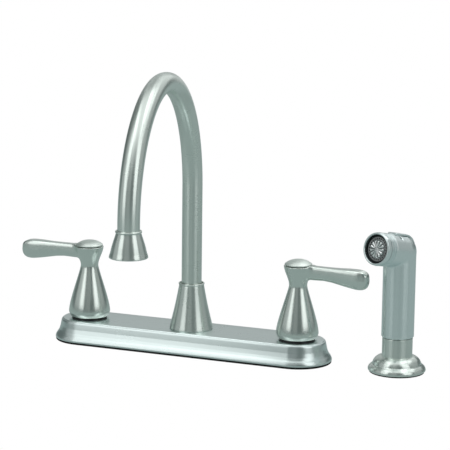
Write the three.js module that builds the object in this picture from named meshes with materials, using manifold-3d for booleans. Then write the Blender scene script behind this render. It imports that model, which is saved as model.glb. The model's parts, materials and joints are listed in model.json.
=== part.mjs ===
// Side spray kitchen faucet: a gooseneck spout and two lever handles on a long deck plate,
// and a hand spray in its own deck flange. Millimetres, +Z up. The origin is on the spout's
// axis at the deck's surface; the front, where the sink is, lies towards -Y.

import * as THREE from 'three';
import { mergeVertices } from 'three/addons/utils/BufferGeometryUtils.js';
import Module from 'manifold-3d';

// ---- driving dimensions ----
const handleSpacing = 203.2; // between the two handle axes
const sprayX = 193; // spray hole from the spout's axis
const sprayY = 2.5;
const deckThickness = 16; // sink deck that the nuts clamp

const clearance = 0.3; // radial and axial gap where pieces turn, slide or nest
const coarse = 10; // sides of a hidden round
const fine = 22; // sides of a visible round

// deck plate
const plateHalfWidth = 31;
const plateTopHalfWidth = 23.9;
const plateTop = 19.9;
const plateWall = 1.6;
const plateStep = 0.8; // height of the small step round the flat top
const plateLip = 1.8; // height of the upright edge at the foot
const plateEdgeInset = 5.6; // from the foot's edge in to the top of the sloping side
const gasketThickness = 2;

// valve bodies and what screws to them
const valveRadius = 12.4;
const valveTop = 30;
const valveFlange = 15;
const valveFlangeThickness = 3;
const shankRadius = 10.4;
const shankLength = 50;
const shankBore = 7;
const waterBore = 3.2;
const portHeight = 9.8; // height of the waterways inside the plate
const portBoss = 6.3;
const waterwayRadius = 4.7;
const waterwayWall = 0.9;
const nutFlats = 32;
const nutHeight = 9;
const washerRadius = 21;
const washerThickness = 2;

// cartridge, stem and discs
const cartridgeRadius = 10;
const cartridgeBottom = 12.4;
const cartridgeTop = 34;
const cartridgeWall = 2.1;
const discThickness = 3;
const stemRadius = 4.6;
const bonnetHeight = 8;
const bonnetFlats = 22;
const bonnetRim = 3.2; // part of the bonnet nut that screws down round the valve body

// handle
const hotRestTurn = 2.2; // degrees that the closed levers stand turned to the front
const coldRestTurn = 4.7;
const ringThickness = 2;
const bellMouth = 17;
const bellBelly = 18.8;
const bellBellyHeight = 26.2;
const bellWaist = 8;
const bellWaistHeight = 68.6;
const bellFullness = 9; // how far the belly keeps its width before it falls to the waist
const bellWaistRun = 4.5; // and how far the waist is upright below its narrowest
const bellRim = 12.8;
const bellRimHeight = 86.4;
const bellWall = 2.4;
const stemTop = bellRimHeight - 13.4;
const capRadius = 12.1;
const capRise = 5;
const capPlugRadius = 6.6;
const capPlugDepth = 4;
const screwRadius = 2.1;
const screwHead = 3.6;
const leverLength = 66.7;
const leverTop = bellRimHeight + 0.8;
const leverNeckHeight = 12.2;
const leverPaddleHeight = 17.4;
const leverNeckWidth = 9.5;
const leverPaddleWidth = 13.5;
const leverPaddleAt = 55; // distance of the fattest section from the handle's axis

// spout
const tubeRadius = 9;
const tubeWall = 1.5;
const reach = 206.4; // spout axis to outlet axis
const archStart = 148.7; // height at which the riser starts to bend
const outletTop = 146.5;
const outletHeight = 22;
const outletMouth = 15.7;
const outletNeck = 10;
const outletBead = 10.7;
const outletBeadHeight = 1.8;
const outletWall = 1.6;
const spoutTurn = 9; // degrees that the spout stands turned to the right of straight ahead
const coneBase = 19.6;
const coneNeck = 11.1;
const coneHollow = 0.45; // how far the cone's side is drawn in half way up
const coneLip = 11.6;
const coneTop = 61.6;
const coneLipHeight = 1.6;
const coneWall = 1.4;
const coneMouth = 10.3; // opening in the top lip, round the tube
const coneMouthDepth = 4;
const hubRadius = 12.1;
const hubNeckRadius = 11;
const hubShoulder = 36;
const hubTop = 50;
const hubFloor = 14.2;
const hubFlange = 16;
const hubFlangeThickness = 3;
const hubBossReach = 20;
const socketDepth = 8; // how far a waterway tube enters a boss
const nippleRadius = 6.8;
const nippleLength = 38;
const collarRadius = 10.3;
const collarThickness = 2.5;
const glideThickness = 0.9;
const tubeFoot = 28;
const sealWire = 0.5;
const sealHeights = [32, 38];
const aeratorRadius = 11.6;
const aeratorHeight = 11;
const aeratorInset = 1.2; // aerator's face above the bell's mouth
const aeratorWall = 1.8;
const screenThickness = 1.4;
const screenHoles = 6;
const screenHole = 1.3; // radius of each
const screenCircle = 6;

// spray holder
const flangeRadius = 25.1;
const flangeGasket = 1;
const flangeShoulder = 14.4; // height of the dome beside the neck
const flangeCrease = 7;
const flangeCreaseRadius = 22;
const neckRadius = 13.2;
const neckTop = 30.7;
const holderBore = 11;
const linerWall = 1.2;
const holderShankRadius = 15;
const holderShankLength = 42;
const holderNutFlats = 42;

// hand spray
const sprayTurn = -22.6; // degrees that the spray head stands turned to the left
const gripRadius = 14.1;
const gripChamfer = 1;
const gripBore = 8.6;
const gripBoreTop = 76;
const elbowHeight = 106.4;
const headRadius = 14.3;
const headTilt = 11; // degrees that the head looks up
const headReach = 27.6; // elbow centre to the seat of the nose ring
const headBore = 7.4;
const noseLength = 5.2;
const noseRadius = 14;
const noseBore = 12.4;
const faceRadius = 10.6;
const faceLedge = 0.9; // width of the ledge that the face lies on
const petals = 10;
const petalReach = 7.6;
const jetHoles = 20;
const jetRadius = 0.5;
const jetCircle = 9;
const grooveDepth = 0.5;
const triggerWidth = 10;
const triggerDepth = 1.3; // depth of the trigger's channel below the grip's skin
const triggerProud = 1;
const triggerFront = 14.5; // reach of the trigger from the elbow towards the nose
const triggerFoot = 84; // height of the trigger's lower end
const triggerBulge = 0.6;
const triggerSwing = 6; // degrees that it turns when it is pressed, with a little over
const pinRadius = 1.1;
const pinAlong = 11; // lever pin's place along the head
const pinAcross = 11.3; // and its distance from the head's axis
const valveAxis = 95; // height of the spray valve
const valveBore = 4.6;
const valveDepth = 22; // bore's depth from the grip's back
const plungerRadius = 1.7;
const poppetRadius = 3.4;
const seatPlace = -1.2; // outer face of the valve seat, towards the back of the grip
const springRadius = 3.2;
const springWire = 0.45;
const springTurns = 4;
const couplingRadius = 8;
const couplingBottom = 6;
const couplingTop = 62;
const couplingNeck = 6.1;
const couplingBore = 3;

// ---- materials ----
const nickel = { color: 0xb4b5b0, roughness: 0.34, metalness: 1 };
const chrome = { color: 0xd4d6d8, roughness: 0.12, metalness: 1 };
const brass = { color: 0xb08d4a, roughness: 0.42, metalness: 1 };
const copper = { color: 0xb06a45, roughness: 0.4, metalness: 1 };
const steel = { color: 0x9a9c9f, roughness: 0.35, metalness: 1 };
const rubber = { color: 0x141414, roughness: 0.7, metalness: 0 };
const darkPlastic = { color: 0x1d1d1f, roughness: 0.5, metalness: 0 };
const palePlastic = { color: 0xd9d8d2, roughness: 0.45, metalness: 0 };
const ceramic = { color: 0xece9e2, roughness: 0.3, metalness: 0 };

// ---- solids ----
const wasm = await Module();
wasm.setup();
const degree = Math.PI / 180;

// Six times the volume that the faces enclose: its sign tells which way they point.
function signedVolume(points, index) {
  const corners = [new THREE.Vector3(), new THREE.Vector3(), new THREE.Vector3()];
  let volume = 0;
  for (let i = 0; i < index.length; i += 3) {
    corners.forEach((corner, k) => corner.fromArray(points, 3 * index[i + k]));
    volume += corners[0].dot(corners[1].cross(corners[2]));
  }
  return volume;
}

// A closed three.js geometry as a solid that can be joined and cut.
function solid(geometry) {
  const bare = geometry.clone();
  bare.deleteAttribute('normal');
  bare.deleteAttribute('uv');
  const merged = mergeVertices(bare, 1e-4);
  const points = merged.attributes.position.array;
  const index = [];
  for (let i = 0; i < merged.index.count; i += 3) {
    const [a, b, c] = [0, 1, 2].map((k) => merged.index.getX(i + k));
    if (a !== b && b !== c && c !== a) index.push(a, b, c);
  }
  if (signedVolume(points, index) < 0) index.reverse();
  const mesh = { numProp: 3, vertProperties: new Float32Array(points), triVerts: new Uint32Array(index) };
  return new wasm.Manifold(new wasm.Mesh(mesh));
}

const join = (first, ...rest) => rest.reduce((whole, piece) => whole.add(piece), first);
const cut = (first, ...rest) => rest.reduce((whole, piece) => whole.subtract(piece), first);

// A closed outline of [radius, height] pairs turned round the Z axis.
function turnedGeometry(profile, sides = coarse) {
  const points = profile.map(([radius, height]) => new THREE.Vector2(Math.max(radius, 0), height));
  const closes = points[0].x === 0 && points.at(-1).x === 0;
  if (!closes) points.push(points[0].clone());
  return new THREE.LatheGeometry(points, sides).rotateX(Math.PI / 2);
}
const turned = (profile, sides) => solid(turnedGeometry(profile, sides));

const rodOutline = (radius, bottom, top) => [[0, bottom], [radius, bottom], [radius, top], [0, top]];
const rod = (radius, bottom, top, sides) => turned(rodOutline(radius, bottom, top), sides);

function ring(inner, outer, bottom, top, sides) {
  return turned([[inner, bottom], [outer, bottom], [outer, top], [inner, top]], sides);
}

// A rod that lies along X from one x to another at the given y and z.
function rodAlongX(radius, from, to, y, z, sides = coarse) {
  const lying = turnedGeometry(rodOutline(radius, from, to), sides).rotateY(Math.PI / 2);
  return solid(lying.translate(0, y, z));
}

// A rod that lies along Y from one y to another at the given height.
function rodAlongY(radius, from, to, z, sides = coarse) {
  const lying = turnedGeometry(rodOutline(radius, from, to), sides).rotateX(-Math.PI / 2);
  return solid(lying.translate(0, 0, z));
}

function upright(radius, bottom, top, x, y, sides = coarse) {
  return solid(turnedGeometry(rodOutline(radius, bottom, top), sides).translate(x, y, 0));
}

// A hexagonal nut with a round bore.
function hexNut(flats, bore, bottom, top) {
  return cut(rod(flats / Math.sqrt(3), bottom, top, 6), rod(bore, bottom - 1, top + 1, fine));
}

// A skin over rings of equal point counts, closed by a fan at each end.
function lofted(rings) {
  const count = rings[0].length;
  const points = rings.flat();
  const index = [];
  for (let row = 0; row + 1 < rings.length; row += 1) {
    for (let k = 0; k < count; k += 1) {
      const a = row * count + k;
      const b = row * count + ((k + 1) % count);
      index.push(a, b, b + count, a, b + count, a + count);
    }
  }
  [rings[0], rings.at(-1)].forEach((end, side) => {
    const centre = end.reduce((sum, p) => sum.add(p), new THREE.Vector3()).divideScalar(count);
    const first = side === 0 ? 0 : (rings.length - 1) * count;
    points.push(centre);
    for (let k = 0; k < count; k += 1) {
      const pair = [first + k, first + ((k + 1) % count)];
      if (side === 0) pair.reverse();
      index.push(pair[0], pair[1], points.length - 1);
    }
  });
  const geometry = new THREE.BufferGeometry().setFromPoints(points);
  geometry.setIndex(index);
  return solid(geometry);
}

// A flat outline in the YZ plane, given thickness along X about x = 0.
function slab(outline, width) {
  const shape = new THREE.Shape(outline.map(([y, z]) => new THREE.Vector2(y, z)));
  const geometry = new THREE.ExtrudeGeometry(shape, { depth: width, bevelEnabled: false });
  const turn = new THREE.Matrix4().set(0, 0, 1, -width / 2, 1, 0, 0, 0, 0, 1, 0, 0, 0, 0, 0, 1);
  return solid(geometry.applyMatrix4(turn));
}

const blend = (from, to, t) => from + (to - from) * t;
const ease = (from, to, t) => blend(from, to, t * t * (3 - 2 * t));
const steps = (count) => Array.from({ length: count + 1 }, (_, k) => k / count);

// Points of an arc in an outline: centre, radius, and the angles in degrees where it starts and ends.
function arc(x, z, radius, from, to, count) {
  return steps(count).map((t) => {
    const angle = blend(from, to, t) * degree;
    return [x + radius * Math.cos(angle), z + radius * Math.sin(angle)];
  });
}

// Corners of a flat round with the given number of sides.
function round(radius, sides, x = 0, y = 0) {
  return steps(sides).slice(1).map((t) => {
    const angle = 2 * Math.PI * t;
    return new THREE.Vector2(x + radius * Math.cos(angle), y + radius * Math.sin(angle));
  });
}

// A flat round plate with a ring of holes, lying on z = 0.
function piercedDisc(radius, thickness, count, circle, holeRadius, holeSides) {
  const shape = new THREE.Shape(round(radius, 24));
  for (const t of steps(count).slice(1)) {
    const [x, y] = [circle * Math.cos(2 * Math.PI * t), circle * Math.sin(2 * Math.PI * t)];
    shape.holes.push(new THREE.Path(round(holeRadius, holeSides, x, y)));
  }
  return new THREE.ExtrudeGeometry(shape, { depth: thickness, bevelEnabled: false });
}

const model = new THREE.Group();

function addPart(name, body, finish, parent = model) {
  const { vertProperties, triVerts } = body.getMesh();
  const geometry = new THREE.BufferGeometry();
  geometry.setAttribute('position', new THREE.BufferAttribute(new Float32Array(vertProperties), 3));
  geometry.setIndex(new THREE.BufferAttribute(new Uint32Array(triVerts), 1));
  geometry.computeVertexNormals();
  const mesh = new THREE.Mesh(geometry, new THREE.MeshStandardMaterial(finish));
  mesh.name = name;
  parent.add(mesh);
}

// ---- deck plate and gasket ----
const halfSpacing = handleSpacing / 2;

// One ring of a plate with round ends, concentric with the handle axes.
function plateRing(halfWidth, height) {
  const perEnd = 15;
  const ends = [[halfSpacing, -90], [-halfSpacing, 90]];
  return ends.flatMap(([x, start]) => steps(perEnd).map((t) => {
    const angle = (start + 180 * t) * degree;
    return new THREE.Vector3(x + halfWidth * Math.cos(angle), halfWidth * Math.sin(angle), height);
  }));
}

function deckPlate() {
  const foot = gasketThickness;
  const sideTop = plateTop - plateStep - 1.2;
  const lipTop = foot + plateLip;
  const sideFoot = plateHalfWidth - 2.2;
  const sideHead = plateHalfWidth - plateEdgeInset;
  const rows = [
    [plateHalfWidth, foot],
    [plateHalfWidth, lipTop],
    [sideFoot, lipTop + 2.4],
    [blend(sideFoot, sideHead, 0.5) + 0.25, blend(lipTop + 2.4, sideTop, 0.5)],
    [sideHead, sideTop],
    [plateTopHalfWidth + 0.9, plateTop - plateStep],
    [plateTopHalfWidth + 0.4, plateTop - plateStep],
    [plateTopHalfWidth, plateTop],
  ];
  const cavity = [
    [plateHalfWidth - plateWall, foot - 1],
    [plateHalfWidth - plateWall, lipTop - 0.4],
    [sideFoot - plateWall, lipTop + 1.8],
    [sideHead - plateWall, plateTop - plateStep - plateWall],
  ];
  const shell = cut(
    lofted(rows.map(([w, z]) => plateRing(w, z))),
    lofted(cavity.map(([w, z]) => plateRing(w, z))),
  );
  const holes = [-halfSpacing, halfSpacing].map((x) => {
    return upright(valveRadius + clearance, 0, plateTop + 1, x, 0, fine);
  });
  return cut(shell, ...holes, upright(hubRadius + clearance, 0, plateTop + 1, 0, 0, fine));
}

function deckGasket() {
  const edge = plateHalfWidth - clearance;
  const pad = lofted([plateRing(edge, 0), plateRing(edge, gasketThickness)]);
  const holes = [-halfSpacing, halfSpacing].map((x) => {
    return upright(shankRadius + clearance, -1, gasketThickness + 1, x, 0, fine);
  });
  return cut(pad, ...holes, upright(nippleRadius + clearance, -1, gasketThickness + 1, 0, 0, fine));
}

addPart('deck_plate', deckPlate(), nickel);
addPart('deck_gasket', deckGasket(), rubber);

// ---- hub under the spout ----
function spoutHub() {
  const bore = tubeRadius + clearance;
  const post = turned([
    [0, -nippleLength], [nippleRadius, -nippleLength], [nippleRadius, gasketThickness],
    [hubFlange, gasketThickness], [hubFlange, gasketThickness + hubFlangeThickness],
    [hubRadius, gasketThickness + hubFlangeThickness], [hubRadius, hubShoulder],
    [hubNeckRadius, hubShoulder + 1], [hubNeckRadius, hubTop], [bore, hubTop],
    [bore, hubFloor], [0, hubFloor],
  ], fine);
  const boss = rodAlongX(portBoss, -hubBossReach, hubBossReach, 0, portHeight);
  return cut(
    join(post, boss),
    rod(bore, hubFloor, hubShoulder, fine),
    rod(waterBore + 1, portHeight, hubFloor + 1),
    rod(waterBore, -nippleLength - 1, portHeight),
    rodAlongX(waterBore, -hubBossReach - 1, hubBossReach + 1, 0, portHeight),
    rodAlongX(waterwayRadius + clearance, -hubBossReach - 1, socketDepth - hubBossReach, 0, portHeight),
    rodAlongX(waterwayRadius + clearance, hubBossReach - socketDepth, hubBossReach + 1, 0, portHeight),
  );
}

function diverterBody() {
  const outer = tubeRadius - clearance;
  const top = tubeFoot - 2;
  return turned([
    [2.8, hubFloor], [outer, hubFloor], [outer, hubFloor + 3], [7, hubFloor + 3],
    [7, top], [4.8, top], [4.8, hubFloor + 3.8], [2.8, hubFloor + 3.8],
  ]);
}

function diverterPiston() {
  const seat = hubFloor + 3.8 + clearance;
  return turned([
    [0, portHeight + 2.5], [2.3, portHeight + 2.5], [2.3, seat], [4.4, seat],
    [4.4, seat + 1.6], [2, seat + 2.6], [0, seat + 2.6],
  ]);
}

addPart('spout_hub', spoutHub(), brass);
addPart('diverter_body', diverterBody(), palePlastic);
addPart('diverter_piston', diverterPiston(), darkPlastic);

// ---- spout cone and glide rings ----
const collarBottom = hubTop + glideThickness + 2 * clearance / 3;
const glideBore = tubeRadius + clearance;

function spoutCone() {
  const base = plateTop;
  const shelf = coneTop - coneMouthDepth;
  const shelfFoot = collarBottom + collarThickness + glideThickness + 2 * clearance;
  const lipFoot = coneTop - coneLipHeight;
  const side = steps(5).map((t) => [
    blend(coneBase - 0.1, coneNeck + 0.1, t) - coneHollow * Math.sin(180 * t * degree),
    blend(base + 1.6, lipFoot - 0.4, t),
  ]);
  return turned([
    [coneBase - 0.4, base], [coneBase, base + 0.4], ...side, [coneLip, lipFoot + 0.2], [coneLip, coneTop - 0.5],
    [coneLip - 0.5, coneTop], [coneMouth, coneTop], [coneMouth, shelf],
    [glideBore + 0.1, shelf], [glideBore + 0.1, shelfFoot], [hubNeckRadius + clearance, shelfFoot],
    [hubNeckRadius + clearance, hubShoulder + 4], [hubRadius + clearance + 0.4, hubShoulder - 1],
    [coneBase - coneWall - 0.3, base + 1.6], [coneBase - coneWall, base],
  ], fine);
}

const lowerGlide = ring(glideBore, hubNeckRadius - clearance, hubTop, hubTop + glideThickness, fine);
const upperGlideFoot = collarBottom + collarThickness + clearance;
const upperGlide = ring(glideBore, hubNeckRadius, upperGlideFoot, upperGlideFoot + glideThickness, fine);
addPart('spout_cone', spoutCone(), nickel);
addPart('lower_glide_ring', lowerGlide, palePlastic);
addPart('upper_glide_ring', upperGlide, palePlastic);

// ---- valve under each handle ----
// side is -1 for the hot valve on the left and +1 for the cold one on the right.
function valveBody(side) {
  const flangeFoot = gasketThickness;
  const body = turned([
    [0, -shankLength], [shankRadius - 0.8, -shankLength], [shankRadius, 0.8 - shankLength],
    [shankRadius, flangeFoot], [valveFlange, flangeFoot],
    [valveFlange, flangeFoot + valveFlangeThickness],
    [valveRadius, flangeFoot + valveFlangeThickness], [valveRadius, valveTop],
    [cartridgeRadius + clearance, valveTop], [cartridgeRadius + clearance, cartridgeBottom],
    [0, cartridgeBottom],
  ], fine);
  const inward = -side * hubBossReach;
  const [low, high] = [Math.min(0, inward), Math.max(0, inward)];
  const mouth = -side * (hubBossReach - socketDepth);
  const socket = side > 0 ? [inward - 1, mouth] : [mouth, inward + 1];
  const portEnds = side > 0 ? [inward - 1, -4] : [4, inward + 1];
  return cut(
    join(body, rodAlongX(portBoss, low, high, 0, portHeight)),
    rod(shankBore, -shankLength - 1, -6),
    upright(waterBore, -8, cartridgeBottom + 1, side * 4, 0),
    upright(waterBore - 0.4, portHeight, cartridgeBottom + 1, -side * 5, 0),
    rodAlongX(waterBore - 0.4, ...portEnds, 0, portHeight),
    rodAlongX(waterwayRadius + clearance, ...socket, 0, portHeight),
    rod(cartridgeRadius + clearance, cartridgeBottom, valveTop + 1, fine),
  );
}

function waterway(side) {
  const from = hubBossReach - socketDepth + clearance;
  const to = halfSpacing - hubBossReach + socketDepth - clearance;
  const ends = side > 0 ? [from, to] : [-to, -from];
  return cut(
    rodAlongX(waterwayRadius, ...ends, 0, portHeight),
    rodAlongX(waterwayRadius - waterwayWall, ends[0] - 1, ends[1] + 1, 0, portHeight),
  );
}

const discFloor = cartridgeBottom + clearance;
const discRadius = cartridgeRadius - cartridgeWall - clearance - 0.2;
const stemFoot = discFloor + 2 * discThickness + 2 * clearance;
const stemFlangeTop = cartridgeTop - 10 - clearance;

function cartridge() {
  const inner = cartridgeRadius - cartridgeWall;
  return turned([
    [inner, discFloor], [cartridgeRadius, discFloor], [cartridgeRadius, cartridgeTop - 2],
    [cartridgeRadius - 1.4, cartridgeTop - 1.9], [cartridgeRadius - 1.4, cartridgeTop],
    [stemRadius + clearance, cartridgeTop], [stemRadius + clearance, stemFlangeTop + clearance],
    [inner, stemFlangeTop + clearance],
  ]);
}

function disc(foot) {
  const holes = [-1, 1].map((k) => upright(1.9, foot - 1, foot + discThickness + 1, 4.2 * k, 0, 6));
  return cut(rod(discRadius, foot, foot + discThickness), ...holes);
}

function stem() {
  const body = turned([
    [0, stemFoot], [discRadius, stemFoot], [discRadius, stemFlangeTop], [stemRadius, stemFlangeTop],
    [stemRadius, stemTop - 0.6], [stemRadius - 0.6, stemTop], [0, stemTop],
  ]);
  return cut(body, rod(screwRadius + clearance, stemTop - 9, stemTop + 1, 12));
}

function bonnetNut() {
  const foot = valveTop + clearance;
  const shoulder = cartridgeTop - 2 + clearance;
  const skirt = turned([
    [valveRadius + clearance, foot - bonnetRim], [valveRadius + 1.6, foot - bonnetRim],
    [valveRadius + 1.6, foot + 1.2], [cartridgeRadius + clearance, foot + 1.2],
    [cartridgeRadius + clearance, foot], [valveRadius + clearance, foot],
  ], fine);
  const hex = rod(bonnetFlats / Math.sqrt(3), foot + 0.5, foot + bonnetHeight, 6);
  return cut(
    join(skirt, hex),
    rod(cartridgeRadius + clearance, foot - 1, shoulder),
    rod(cartridgeRadius - 1.4 + clearance, foot, foot + bonnetHeight + 1),
  );
}

// ---- handle ----
const bellFoot = plateTop + ringThickness + clearance;

// The bell's outside: a rounded mouth, a curved fall to the waist and a flare up to the rim.
function bellOutline() {
  const mouth = steps(3).map((t) => [
    bellMouth + (bellBelly - bellMouth) * Math.sin(90 * t * degree),
    blend(bellFoot, bellBellyHeight, t),
  ]);
  const fallCurve = new THREE.CubicBezierCurve(
    new THREE.Vector2(bellBelly, bellBellyHeight),
    new THREE.Vector2(bellBelly, bellBellyHeight + bellFullness),
    new THREE.Vector2(bellWaist, bellWaistHeight - bellWaistRun),
    new THREE.Vector2(bellWaist, bellWaistHeight),
  );
  const fall = fallCurve.getPoints(7).slice(1).map((point) => point.toArray());
  const flare = steps(4).slice(1).map((t) => [
    ease(bellWaist, bellRim, t), blend(bellWaistHeight, bellRimHeight, t),
  ]);
  return [...mouth, ...fall, ...flare];
}

// One section of the lever, square to its length: a rounded oblong.
function leverSection(along, low, high, width) {
  const points = 14;
  return steps(points - 1).map((t) => {
    const angle = 360 * t * (points - 1) / points * degree;
    const [c, s] = [Math.cos(angle), Math.sin(angle)];
    const square = (v) => Math.sign(v) * Math.abs(v) ** 0.85;
    const z = (low + high) / 2 + (high - low) / 2 * square(s);
    return new THREE.Vector3(along, width / 2 * square(c), z);
  });
}

// The lever starts inside the bell, sweeps out of it in a fillet and swells to a rounded paddle.
function leverRings() {
  const neckEnd = 30;
  const fillet = 8;
  const filletFoot = leverTop - leverNeckHeight;
  const rings = [];
  for (const t of steps(3)) {
    const along = blend(bellWaist - 2.5, bellWaist + fillet, t);
    const drop = fillet * (1 - Math.sin(90 * t * degree));
    const top = leverTop - 1.2 * (1 - t);
    rings.push(leverSection(along, filletFoot - drop, top, leverNeckWidth + 1.5 * (1 - t)));
  }
  rings.push(leverSection(neckEnd - 6, filletFoot, leverTop, leverNeckWidth));
  for (const t of steps(4)) {
    const along = blend(neckEnd, leverPaddleAt, t);
    const high = ease(leverTop, leverTop + 1, t);
    const height = ease(leverNeckHeight, leverPaddleHeight, t);
    rings.push(leverSection(along, high - height, high, ease(leverNeckWidth, leverPaddleWidth, t)));
  }
  const tipFrom = leverPaddleAt;
  const middle = leverTop + 1 - leverPaddleHeight / 2;
  for (const t of steps(5).slice(1)) {
    const angle = Math.min(90 * t, 84) * degree;
    const half = leverPaddleHeight / 2 * Math.cos(angle);
    const along = tipFrom + (leverLength - tipFrom) * Math.sin(angle) / Math.sin(84 * degree);
    rings.push(leverSection(along, middle - half, middle + half, leverPaddleWidth * Math.cos(angle)));
  }
  return rings;
}

function handleCasting() {
  const outline = bellOutline();
  const bell = turned([[0, bellFoot], ...outline, [0, bellRimHeight]], fine);
  const cavityTop = stemTop - 18;
  const topRadius = stemRadius + 3;
  const cavity = turned([
    [0, bellFoot - 1], [bellMouth - 1.4, bellFoot - 1], [bellMouth - 1.2, bellFoot],
    [bellBelly - bellWall, bellBellyHeight + 1],
    [ease(bellBelly, bellWaist, 0.3) - bellWall, blend(bellBellyHeight, bellWaistHeight, 0.3)],
    [topRadius, cavityTop], [0, cavityTop],
  ], coarse);
  const capFoot = bellRimHeight;
  return cut(
    join(bell, lofted(leverRings())),
    cavity,
    rod(stemRadius + clearance, cavityTop - 1, stemTop + clearance),
    rod(screwRadius + clearance, stemTop, capFoot, 12),
    rod(capPlugRadius + clearance, stemTop + 3, capFoot + 1, fine),
    rod(capRadius + clearance, capFoot, capFoot + capRise, fine),
  );
}

function handleCap() {
  const foot = bellRimHeight + clearance;
  const rim = 1;
  const sphere = (capRadius ** 2 + (capRise - rim) ** 2) / (2 * (capRise - rim));
  const half = Math.asin(capRadius / sphere) / degree;
  const dome = arc(0, foot + capRise - sphere, sphere, 90 - half, 90, 5).slice(0, -1);
  return turned([
    [0, foot - capPlugDepth], [capPlugRadius, foot - capPlugDepth], [capPlugRadius, foot],
    [capRadius - 0.3, foot], [capRadius, foot + 0.3], ...dome, [0, foot + capRise],
  ], fine);
}

function handleScrew() {
  const seat = stemTop + 3 + clearance / 3;
  return turned([
    [0, stemTop - 7], [screwRadius, stemTop - 7], [screwRadius, seat],
    [screwHead, seat], [screwHead, seat + 2.4], [screwHead - 0.6, seat + 3], [0, seat + 3],
  ], 12);
}

const washerTop = -deckThickness;

for (const [name, side] of [['hot', -1], ['cold', 1]]) {
  const station = new THREE.Group();
  station.position.x = side * halfSpacing;
  model.add(station);
  addPart(`${name}_valve_body`, valveBody(side), brass, station);
  addPart(`${name}_waterway`, waterway(side), copper);
  addPart(`${name}_cartridge`, cartridge(), palePlastic, station);
  addPart(`${name}_fixed_disc`, disc(discFloor), ceramic, station);
  addPart(`${name}_turning_disc`, disc(discFloor + discThickness + clearance), ceramic, station);
  addPart(`${name}_stem`, stem(), brass, station);
  addPart(`${name}_bonnet_nut`, bonnetNut(), brass, station);
  const baseRing = ring(valveRadius + clearance, bellMouth - 1.1, plateTop, plateTop + ringThickness, fine);
  addPart(`${name}_base_ring`, baseRing, darkPlastic, station);
  const washerFoot = washerTop - washerThickness;
  const washer = ring(shankRadius + clearance, washerRadius, washerFoot, washerTop, fine);
  addPart(`${name}_mounting_washer`, washer, steel, station);
  const nutTop = washerTop - washerThickness;
  const nut = hexNut(nutFlats, shankRadius + clearance, nutTop - nutHeight, nutTop);
  addPart(`${name}_mounting_nut`, nut, brass, station);

  // The lever is drawn along +X; the hot handle is turned half round to point left. Both stand
  // turned a little to the front.
  const handle = new THREE.Group();
  handle.rotation.z = (side > 0 ? -coldRestTurn : 180 + hotRestTurn) * degree;
  station.add(handle);
  addPart(`${name}_handle`, handleCasting(), nickel, handle);
  addPart(`${name}_handle_cap`, handleCap(), nickel, handle);
  addPart(`${name}_handle_screw`, handleScrew(), steel, handle);
}

// ---- spout tube, seals and outlet; drawn straight ahead in a turned group ----
const spout = new THREE.Group();
spout.rotation.z = spoutTurn * degree;
model.add(spout);

const tubeEnd = outletTop - 8.5; // inside the outlet bell

// Riser, half-circle arch and drop as one curve in the YZ plane.
function gooseneck() {
  const start = new THREE.Vector3(0, 0, tubeFoot);
  const bend = new THREE.Vector3(0, 0, archStart);
  const path = new THREE.CurvePath();
  path.add(new THREE.LineCurve3(start, bend));
  class Arch extends THREE.Curve {
    getPoint(t, target = new THREE.Vector3()) {
      const angle = Math.PI * t;
      const half = reach / 2;
      return target.set(0, -half * (1 - Math.cos(angle)), archStart + half * Math.sin(angle));
    }
  }
  path.add(new Arch());
  const drop = [new THREE.Vector3(0, -reach, archStart), new THREE.Vector3(0, -reach, tubeEnd)];
  path.add(new THREE.LineCurve3(...drop));
  return path;
}

function spoutTube() {
  const section = new THREE.Shape(round(tubeRadius, 18));
  section.holes.push(new THREE.Path(round(tubeRadius - tubeWall, 10)));
  const options = { steps: 28, extrudePath: gooseneck(), bevelEnabled: false };
  const tube = solid(new THREE.ExtrudeGeometry(section, options));
  const collar = ring(tubeRadius - tubeWall / 2, collarRadius, collarBottom, collarBottom + collarThickness);
  const grooveRoot = tubeRadius - 2 * sealWire;
  const grooves = sealHeights.map((z) => ring(grooveRoot, tubeRadius + 2, z - 1, z + 1, fine));
  return cut(join(tube, collar), ...grooves);
}

function sealRing(height) {
  const middle = tubeRadius - sealWire + clearance / 2;
  return turned(arc(middle, height, sealWire, 45, 315, 3), fine);
}

function outletBell() {
  const foot = outletTop - outletHeight;
  const beadFoot = outletTop - outletBeadHeight;
  const tubeBore = tubeRadius + clearance;
  const threadTop = foot + aeratorInset + aeratorHeight + 0.4;
  const seatTop = tubeEnd - clearance;
  return turned([
    [outletMouth - outletWall, foot], [outletMouth - 0.4, foot], [outletMouth, foot + 0.5],
    [outletMouth - 0.2, foot + 1.6], [outletNeck + 0.2, beadFoot - 0.4],
    [outletBead - 0.3, beadFoot], [outletBead, beadFoot + 0.6], [outletBead, outletTop - 0.5],
    [outletBead - 0.5, outletTop], [tubeBore, outletTop], [tubeBore, seatTop],
    [tubeRadius - tubeWall, seatTop], [tubeRadius - tubeWall, threadTop],
    [aeratorRadius + clearance, threadTop - 1], [aeratorRadius + clearance, foot + 4],
    [outletMouth - outletWall - 1.2, foot + 2.4],
  ], fine);
}

const aeratorFoot = outletTop - outletHeight + aeratorInset;

function aeratorHousing() {
  const inner = aeratorRadius - aeratorWall;
  const top = aeratorFoot + aeratorHeight - 1.8;
  return turned([
    [inner - 1, aeratorFoot], [aeratorRadius - 0.5, aeratorFoot], [aeratorRadius, aeratorFoot + 0.5],
    [aeratorRadius, top - 1], [aeratorRadius - 1, top], [inner - 1.8, top],
    [inner - 1.8, aeratorFoot + 5], [inner, aeratorFoot + 5], [inner, aeratorFoot + 1],
    [inner - 1, aeratorFoot + 1],
  ]);
}

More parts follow.
